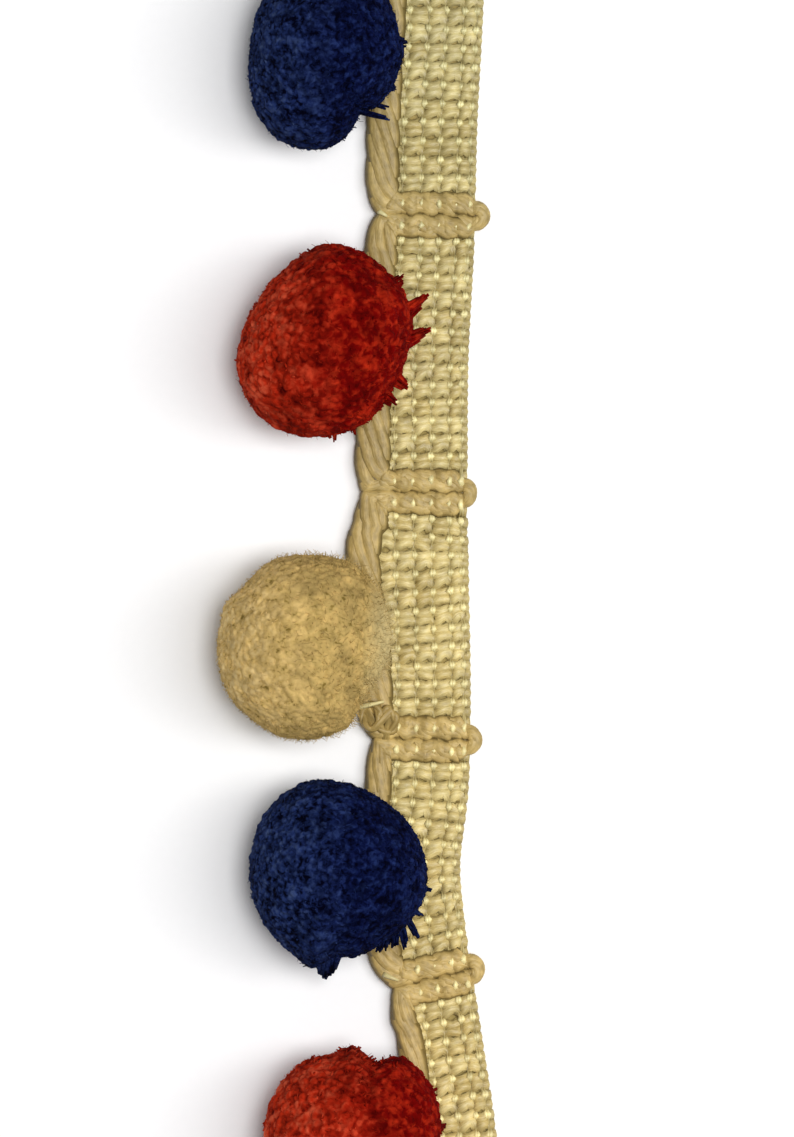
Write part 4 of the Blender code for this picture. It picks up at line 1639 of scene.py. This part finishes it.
    def build(self, cut: YarnCut, carriers: BVHTree, material: bpy.types.Material) -> bpy.types.Object:
        """Build the pompom.

        Args:
            cut: How its ends look.
            carriers: The heading and the cord, which the ends lie over.
            material: Its finish.

        Returns:
            The pompom, standing for its CAD node.
        """
        mesh = StrandMesh(self.rng)
        self._tufted_ball(mesh, cut, carriers)
        ways = self._ways(cut.ends)
        stand = cut.end_length * self.rng.uniform(*self.STAND, (len(ways), 1))
        tips = self._surface(ways, cut) + ways * stand
        roots = tips - ways * cut.end_length
        shape = cut.end_radius, cut.end_lean, self.END_SIDES
        self._ends(mesh, ways, roots, tips, *shape, carriers, cut.comb)
        hairs = self._ways(cut.hairs)
        base = self._surface(hairs, cut)
        longer = 1 + (cut.haze - 1) * self._lee(hairs)[:, None] ** 2
        out = cut.hair_length * self.rng.uniform(*self.HAIR_REACH, (len(hairs), 1)) * longer
        roots, tips = base - hairs * self.hair_root, base + hairs * out
        shape = self.hair_radius, self.HAIR_LEAN, self.END_SIDES
        self._ends(mesh, hairs, roots, tips, *shape, carriers, root=1.0)
        for lock in self.locks:
            self._lock(mesh, lock, cut, carriers)
        piece = mesh.piece(self.node + "_yarn", material)
        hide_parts(self.node)
        return piece

    def _tufted_ball(self, mesh: StrandMesh, cut: YarnCut, carriers: BVHTree) -> None:
        """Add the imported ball, swollen into a rounded tuft round each of many middles.

        Args:
            mesh: Where it goes.
            cut: How its ends look.
            carriers: The heading and the cord.
        """
        bm = bmesh.new()
        bmesh.ops.create_icosphere(bm, subdivisions=self.FINENESS, radius=1.0)
        bm.verts.index_update()
        ways = unit(np.array([vert.co for vert in bm.verts]))
        faces = np.array([[vert.index for vert in face.verts] for face in bm.faces])
        bm.free()
        middles = self._ways(cut.tufts)
        tree = KDTree(len(middles))
        for index, middle in enumerate(middles):
            tree.insert(middle, index)
        tree.balance()
        nearest = np.array([[found[1] for found in tree.find_n(way, self.NEAREST)] for way in ways])
        first = unit(np.cross(middles, self.rng.normal(size=middles.shape)))
        second = np.cross(middles, first)
        apart = (ways[:, None] - middles[nearest]) * self.half_height
        size = self.rng.uniform(*self.TUFT_SIZES, len(middles))[nearest]
        along = (apart * first[nearest]).sum(-1) / (cut.tuft_long * size)
        across = (apart * second[nearest]).sum(-1) / (cut.tuft_wide * size)
        swell = np.sqrt(np.clip(1 - along**2 - across**2, 0, 1)) * cut.tuft_high
        stand = self.rng.normal(0, cut.tuft_uneven, len(middles))[nearest]
        heights = swell + stand
        chosen = heights.argmax(1)
        rows = np.arange(len(ways))
        height = heights[rows, chosen]
        owner = nearest[rows, chosen]
        # Painted shade: the pits between the tufts get a low depth, which the finish darkens.
        low, high = np.percentile(height, self.PIT_AND_PEAK)
        depth = np.clip((height - low) / (high - low), 0, 1)
        points = self.centre + self._surface(ways, cut) + ways * (height - high)[:, None]
        tint = self.rng.random(len(middles))[owner]
        points = self._laid(points[None], self.skin, carriers)[0]
        mesh.add_surface(points, faces, tint, depth, self._lee(ways))

    def _ends(
        self,
        mesh: StrandMesh,
        ways: np.ndarray,
        roots: np.ndarray,
        tips: np.ndarray,
        radius: float,
        lean: float,
        sides: int,
        carriers: BVHTree,
        comb: float = 0.0,
        root: float = 0.2,
    ) -> None:
        """Lay many single yarn ends, each bent over a little.

        Args:
            mesh: Where they go.
            ways: The direction of each end from the ball's centre.
            roots: Where each starts, from the ball's centre.
            tips: Where each ends, from the ball's centre.
            radius: Of an end.
            lean: How far it lies over, as a part of its length.
            sides: Faces round it.
            carriers: The heading and the cord.
            comb: How strongly those on the heading's side lie towards it and up the trim.
            root: Depth at their roots, from 0 in the pits to 1 on the surface; low depth is painted in shade.
        """
        count = len(ways)
        stops = np.array(self.END_STOPS)
        radii = np.array(self.END_TAPER) * radius * self.rng.uniform(*self.END_RADII, (count, 1))
        onward = np.cross(ways, np.cross(np.array(self.COMBED), ways))
        aside = unit(np.cross(ways, self.rng.normal(size=ways.shape)))
        aside = unit(aside + onward * comb * self._lee(ways)[:, None])
        length = np.linalg.norm(tips - roots, axis=-1, keepdims=True)
        over = aside * length * lean * self.rng.uniform(*self.END_LEANS, (count, 1))
        path = roots[:, None] + (tips - roots)[:, None] * stops[None, :, None]
        path = path + over[:, None] * (stops**self.END_BEND)[None, :, None] + self.centre
        path = self._laid(path, radius, carriers)
        axes = round_axes(path, np.cross(unit(ways), aside)[:, None], radii, radii)
        # Painted shade: an end is darker at its root, deep in the ball.
        depth = np.broadcast_to(np.array((root, max(root, self.END_DEPTH), 1.0)), path.shape[:2])
        mesh.add(Tube(sides, len(stops)), path, axes, depth, None, self._lee(ways))

    def _laid(self, paths: np.ndarray, radius: float, carriers: BVHTree) -> np.ndarray:
        """Lift the points that would sink into the floor, the heading or the cord.

        Args:
            paths: The points.
            radius: How far their surface lies below them.
            carriers: The heading and the cord.

        Returns:
            The points, lifted where they need it.
        """
        lowest = np.full(paths.shape[:2], radius)
        low = np.argwhere((paths[..., 2] < self.SINK_BELOW) & (paths[..., 0] > self.SINK_RIGHT))
        for i, j in low:
            point = paths[i, j]
            hit = carriers.ray_cast(Vector((point[0], point[1], self.ABOVE_ALL)), Vector((0, 0, -1)))[0]
            if hit is not None:
                lowest[i, j] = hit.z + radius + self.rest
        lifted = paths.copy()
        lifted[..., 2] = np.maximum(paths[..., 2], lowest)
        return lifted

    def _lock(self, mesh: StrandMesh, lock: Lock, cut: YarnCut, carriers: BVHTree) -> None:
        """Lay one lock, whose ends run together towards its tip.

        Args:
            mesh: Where it goes.
            lock: The lock.
            cut: How the ball's ends look.
            carriers: The heading and the cord.
        """
        aim = np.array((lock.x * MM - self.x, lock.y * MM - self.y, self.lock_drop))
        beside = self.rng.uniform(-0.5, 0.5, lock.count) * lock.width
        around = math.atan2(aim[1], aim[0]) + math.radians(lock.swing) + beside / math.hypot(aim[0], aim[1])
        tilt = np.radians(self.rng.uniform(*self.LOCK_TILT, lock.count))
        ways = np.stack([np.cos(around) * np.cos(tilt), np.sin(around) * np.cos(tilt), np.sin(tilt)], axis=-1)
        base = self._surface(ways, cut) * self.LOCK_ROOT
        sideways = unit(np.array((-aim[1], aim[0], 0.0))) * beside[:, None] * lock.blunt
        chance, sides = self.LOCK_RAGGED
        ragged = self.rng.uniform(0, chance, lock.count)
        ragged = ragged + sides * (1 - lock.blunt) * np.abs(beside / lock.width)
        short = 1 - ragged[:, None]
        tips = base + (aim + sideways + self.rng.normal(0, self.lock_stir, base.shape) - base) * short
        self._ends(mesh, ways, base, tips, lock.radius, self.LOCK_LEAN, self.LOCK_SIDES, carriers)


CUTS = {
    Wool.RUST: YarnCut(
        tufts=1700, tuft_long=0.72 * MM, tuft_wide=0.46 * MM, tuft_high=0.36 * MM, tuft_uneven=0.09 * MM,
        lumps=0.010, ends=2200, end_radius=0.20 * MM, end_length=1.3 * MM, end_lean=0.9, comb=1.6,
        hairs=700, hair_length=0.35 * MM, haze=1.5,
    ),
    Wool.NAVY: YarnCut(
        tufts=3200, tuft_long=0.55 * MM, tuft_wide=0.34 * MM, tuft_high=0.28 * MM, tuft_uneven=0.09 * MM,
        lumps=0.010, ends=2800, end_radius=0.14 * MM, end_length=0.9 * MM, end_lean=1.0, comb=0.0,
        hairs=700, hair_length=0.35 * MM, haze=1.5,
    ),
    Wool.GOLD: YarnCut(
        tufts=2400, tuft_long=0.66 * MM, tuft_wide=0.42 * MM, tuft_high=0.25 * MM, tuft_uneven=0.08 * MM,
        lumps=0.014, ends=2200, end_radius=0.13 * MM, end_length=0.9 * MM, end_lean=1.1, comb=0.0,
        hairs=3600, hair_length=0.36 * MM, haze=4.0,
    ),
}

POMPOMS = (
    Pompom("pompom_navy_1", Wool.NAVY, -13.9 * MM, 69.2 * MM,
           (10.4, 10.0, 10.4, 11.0, 11.6, 12.0, 12.0, 11.9, 11.5, 11.0, 10.4, 10.0,
            9.9, 10.4, 11.2, 12.3, 13.1, 13.2, 12.7, 11.2, 9.1, 9.8, 9.9, 9.9),
           (Lock(-4.9, 60.4, 0.3 * MM, 5, 0.25 * MM, -20.0, 0.5),
            Lock(-5.5, 61.8, 0.3 * MM, 4, 0.22 * MM, -9.0),
            Lock(-3.0, 70.6, 4.0 * MM, 20, 0.20 * MM), Lock(-4.6, 64.2, 2.6 * MM, 12, 0.18 * MM),
            Lock(-17.6, 56.9, 4.0 * MM, 16, 0.20 * MM)), 31),
    Pompom("pompom_rust_1", Wool.RUST, -14.0 * MM, 31.4 * MM,
           (11.5, 12.0, 12.3, 12.2, 12.4, 12.7, 12.7, 11.7, 10.7, 10.4, 10.1, 10.5,
            11.0, 12.0, 12.6, 13.1, 13.3, 13.1, 12.7, 12.5, 12.2, 11.2, 10.9, 11.0),
           (Lock(-0.3, 37.5, 3.8 * MM, 22, 0.24 * MM, -7.0), Lock(0.3, 33.0, 3.8 * MM, 22, 0.24 * MM, -11.0),
            Lock(-2.5, 24.8, 3.0 * MM, 14, 0.26 * MM, 2.0), Lock(-4.4, 22.6, 3.0 * MM, 14, 0.26 * MM),
            Lock(-3.4, 40.0, 3.0 * MM, 9, 0.22 * MM), Lock(-12.7, 18.0, 4.0 * MM, 12, 0.22 * MM),
            Lock(-10.0, 18.9, 3.4 * MM, 10, 0.20 * MM)), 32),
    Pompom("pompom_gold", Wool.GOLD, -16.8 * MM, -8.9 * MM,
           (11.5, 11.7, 12.1, 12.6, 12.7, 12.3, 12.0, 12.2, 11.7, 11.0, 11.6, 11.2,
            11.2, 11.4, 11.7, 11.7, 11.8, 12.3, 12.3, 12.2, 12.0, 10.6, 10.3, 10.9), (), 33),
    Pompom("pompom_navy_2", Wool.NAVY, -12.3 * MM, -38.2 * MM,
           (11.7, 11.5, 11.3, 11.0, 10.9, 11.2, 11.6, 12.3, 12.3, 12.2, 12.0, 11.6,
            11.6, 11.7, 11.9, 12.2, 12.5, 13.5, 11.5, 11.6, 11.2, 11.6, 11.8, 12.0),
           (Lock(-14.0, -52.8, 5.2 * MM, 80, 0.28 * MM, 1.0, 0.25),
            Lock(-6.9, -49.3, 0.9 * MM, 9, 0.24 * MM, 14.0, 0.8),
            Lock(-5.9, -48.7, 0.8 * MM, 8, 0.22 * MM, 13.0, 0.8),
            Lock(-4.8, -48.4, 0.9 * MM, 9, 0.24 * MM, 12.0, 0.8),
            Lock(-3.2, -48.5, 0.9 * MM, 9, 0.24 * MM, 11.0, 0.8),
            Lock(-1.6, -47.3, 1.0 * MM, 9, 0.24 * MM, 8.0, 0.6),
            Lock(-0.9, -44.4, 1.6 * MM, 8, 0.20 * MM), Lock(0.2, -41.0, 1.8 * MM, 8, 0.20 * MM)), 34),
    Pompom("pompom_rust_2", Wool.RUST, -10.3 * MM, -73.9 * MM,
           (11.6, 11.9, 12.5, 12.8, 12.9, 10.8, 12.6, 11.8, 12.4, 12.3, 12.0, 11.9,
            11.7, 11.7, 12.0, 12.2, 12.1, 12.0, 12.2, 12.0, 11.8, 11.9, 11.7, 11.5),
           (Lock(2.2, -72.0, 3.0 * MM, 12, 0.24 * MM), Lock(1.0, -67.0, 3.0 * MM, 10, 0.22 * MM),
            Lock(2.0, -78.5, 3.0 * MM, 12, 0.24 * MM)), 35, 1.4),
)

WOOLS = (
    WoolFinish(
        Wool.NAVY, pit=(0.0004, 0.0006, 0.0065), shaded=(0.0026, 0.0056, 0.0385),
        body=(0.0160, 0.0320, 0.1220), bright=(0.0560, 0.0860, 0.1850),
        fleck=1300.0, dark=(0.37, 0.51), light=(0.51, 0.72), relief=0.6,
    ),
    WoolFinish(
        Wool.RUST, pit=(0.068, 0.0004, 0.0003), shaded=(0.143, 0.0011, 0.0006),
        body=(0.430, 0.0230, 0.0058), bright=(0.600, 0.0920, 0.0400),
        fleck=800.0, dark=(0.30, 0.47), light=(0.48, 0.68), relief=0.45, gap=(-0.8, 0.7),
    ),
    WoolFinish(
        Wool.GOLD, pit=(0.200, 0.135, 0.030), shaded=(0.415, 0.291, 0.099),
        body=(0.590, 0.398, 0.137), bright=(0.720, 0.540, 0.250),
        fleck=1250.0, dark=(0.31, 0.40), light=(0.43, 0.66), relief=0.40, gap=(-0.9, 0.5),
        haze=((0.60, 0.50, 0.25), 0.65),
    ),
)

THREADS = {
    "weft": ThreadFinish(
        "weft_thread", deep=(0.190, 0.138, 0.032), body=(0.480, 0.370, 0.132), bright=(0.800, 0.690, 0.330),
        roughness=0.38, gloss=0.5, fineness=4.2, relief=0.9, cloud=520.0, rim=1.2,
    ),
    # The warp's pale colours at each flash are a painted glint, and its deep colour between them a painted
    # shade.
    "warp": ThreadFinish(
        "warp_thread", deep=(0.300, 0.230, 0.080), body=(0.680, 0.570, 0.260), bright=(0.960, 0.890, 0.470),
        roughness=0.32, gloss=0.4, fineness=6.0, relief=0.2, cloud=300.0, rim=9.0,
    ),
    # The cord's narrow rim paints shade along each strand's sides, as dark lines between the strands.
    "cord": ThreadFinish(
        "cord_satin_thread",
        deep=(0.080, 0.056, 0.013), body=(0.290, 0.203, 0.059), bright=(0.535, 0.400, 0.150),
        roughness=0.44, gloss=0.35, fineness=3.0, relief=0.8, cloud=700.0, rim=0.98,
    ),
}
GROUND = GroundFinish(dark=(0.310, 0.230, 0.066), light=(0.470, 0.360, 0.125))


# ---------------------------------------------------------------- floor, light and camera


@dataclass
class Studio:
    """A plain white floor, soft light and a camera that looks straight down.

    Args:
        aim_x: Where the camera looks, across the trim.
        aim_y: Where it looks, along the trim.
        aim_z: Height of the plane that it frames.
        distance: From the camera to that plane.
        frame_height: Length of the plane that the picture's height takes in.
        room: Strength of the even light.
        floor_half: Half of the floor's side.
        floor_grain: How many grains of the floor's tone lie side by side in a metre.
    """

    aim_x: float = -4.49 * MM
    aim_y: float = 1.39 * MM
    aim_z: float = 5.0 * MM
    distance: float = 1.2
    frame_height: float = 150.1 * MM
    room: float = 0.27
    floor_half: float = 3.0
    floor_grain: float = 900.0

    PAPER: ClassVar[tuple[Colour, Colour]] = ((0.920, 0.920, 0.925), (0.940, 0.940, 0.945))  # of the floor

    def build(self) -> None:
        """Build the studio."""
        self._floor()
        self._world()
        self._softbox("key_light", place=(0.15, 0.01, 1.20), size=(0.45, 0.30), power=8.4)
        self._softbox("side_light", place=(0.78, 0.02, 1.20), size=(0.40, 0.90), power=8.8)
        self._camera()

    def _floor(self) -> None:
        """Add the floor just below the trim."""
        bm = bmesh.new()
        bmesh.ops.create_grid(bm, x_segments=1, y_segments=1, size=self.floor_half)
        mesh = bpy.data.meshes.new("studio_floor")
        bm.to_mesh(mesh)
        bm.free()
        material, sheet, shader = new_material("studio_paper")
        place = sheet.add("ShaderNodeTexCoord").outputs["Object"]
        colour = sheet.mix(sheet.noise(place, self.floor_grain, 2.0), *self.PAPER)
        sheet.tree.links.new(colour, shader.inputs["Base Color"])
        shader.inputs["Roughness"].default_value = 1.0
        shader.inputs["Specular IOR Level"].default_value = 0.0
        mesh.materials.append(material)
        floor = bpy.data.objects.new("studio_floor", mesh)
        bpy.context.scene.collection.objects.link(floor)

    def _world(self) -> None:
        """Light the room evenly."""
        world = bpy.data.worlds.new("studio_room")
        world.use_nodes = True
        background = world.node_tree.nodes["Background"]
        background.inputs["Color"].default_value = (1, 1, 1, 1)
        background.inputs["Strength"].default_value = self.room
        bpy.context.scene.world = world

    @staticmethod
    def _softbox(
        name: str, place: tuple[float, float, float], size: tuple[float, float], power: float
    ) -> None:
        """Add a soft light that faces the trim.

        Args:
            name: Its name.
            place: Where it stands.
            size: Its sides across and along the trim.
            power: In watts.
        """
        data = bpy.data.lights.new(name, "AREA")
        data.shape = "RECTANGLE"
        data.size, data.size_y = size
        data.energy = power
        light = bpy.data.objects.new(name, data)
        light.location = place
        light.rotation_euler = (-Vector(place)).to_track_quat("-Z", "Y").to_euler()
        bpy.context.scene.collection.objects.link(light)

    def _camera(self) -> None:
        """Add the camera."""
        data = bpy.data.cameras.new("studio_camera")
        data.sensor_width = 36.0
        data.lens = data.sensor_width * self.distance / self.frame_height
        data.clip_start, data.clip_end = 0.05, 20.0
        camera = bpy.data.objects.new("studio_camera", data)
        camera.location = (self.aim_x, self.aim_y, self.aim_z + self.distance)
        bpy.context.scene.collection.objects.link(camera)
        bpy.context.scene.camera = camera
        bpy.context.scene.view_settings.view_transform = "Standard"


def carriers_of_cad() -> BVHTree:
    """Join the CAD heading and cord, which the yarn ends lie over.

    Returns:
        One search tree over both.
    """
    points, faces = [], []
    for name in (HEADING_NODE, CORD_NODE):
        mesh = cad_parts[name].data
        start = len(points)
        points += [vert.co.copy() for vert in mesh.vertices]
        faces += [[start + index for index in face.vertices] for face in mesh.polygons]
    return BVHTree.FromPolygons(points, faces)


def main() -> None:
    """Build the trim's pieces in order, then the studio."""
    logging.basicConfig(level=logging.INFO, format="%(name)s %(message)s")
    effects = SharedEffects()
    finishes = {key: finish.material(effects) for key, finish in THREADS.items()}
    finishes["ground"] = GROUND.material(effects)
    carriers = carriers_of_cad()
    course = HeadingCourse()
    Heading(course).build(finishes)
    EdgeCord(course).build(finishes["cord"])
    wools = {finish.wool: finish.material(effects) for finish in WOOLS}
    for pompom in POMPOMS:
        pompom.build(CUTS[pompom.wool], carriers, wools[pompom.wool])
    Studio().build()


if __name__ == "__main__":
    main()
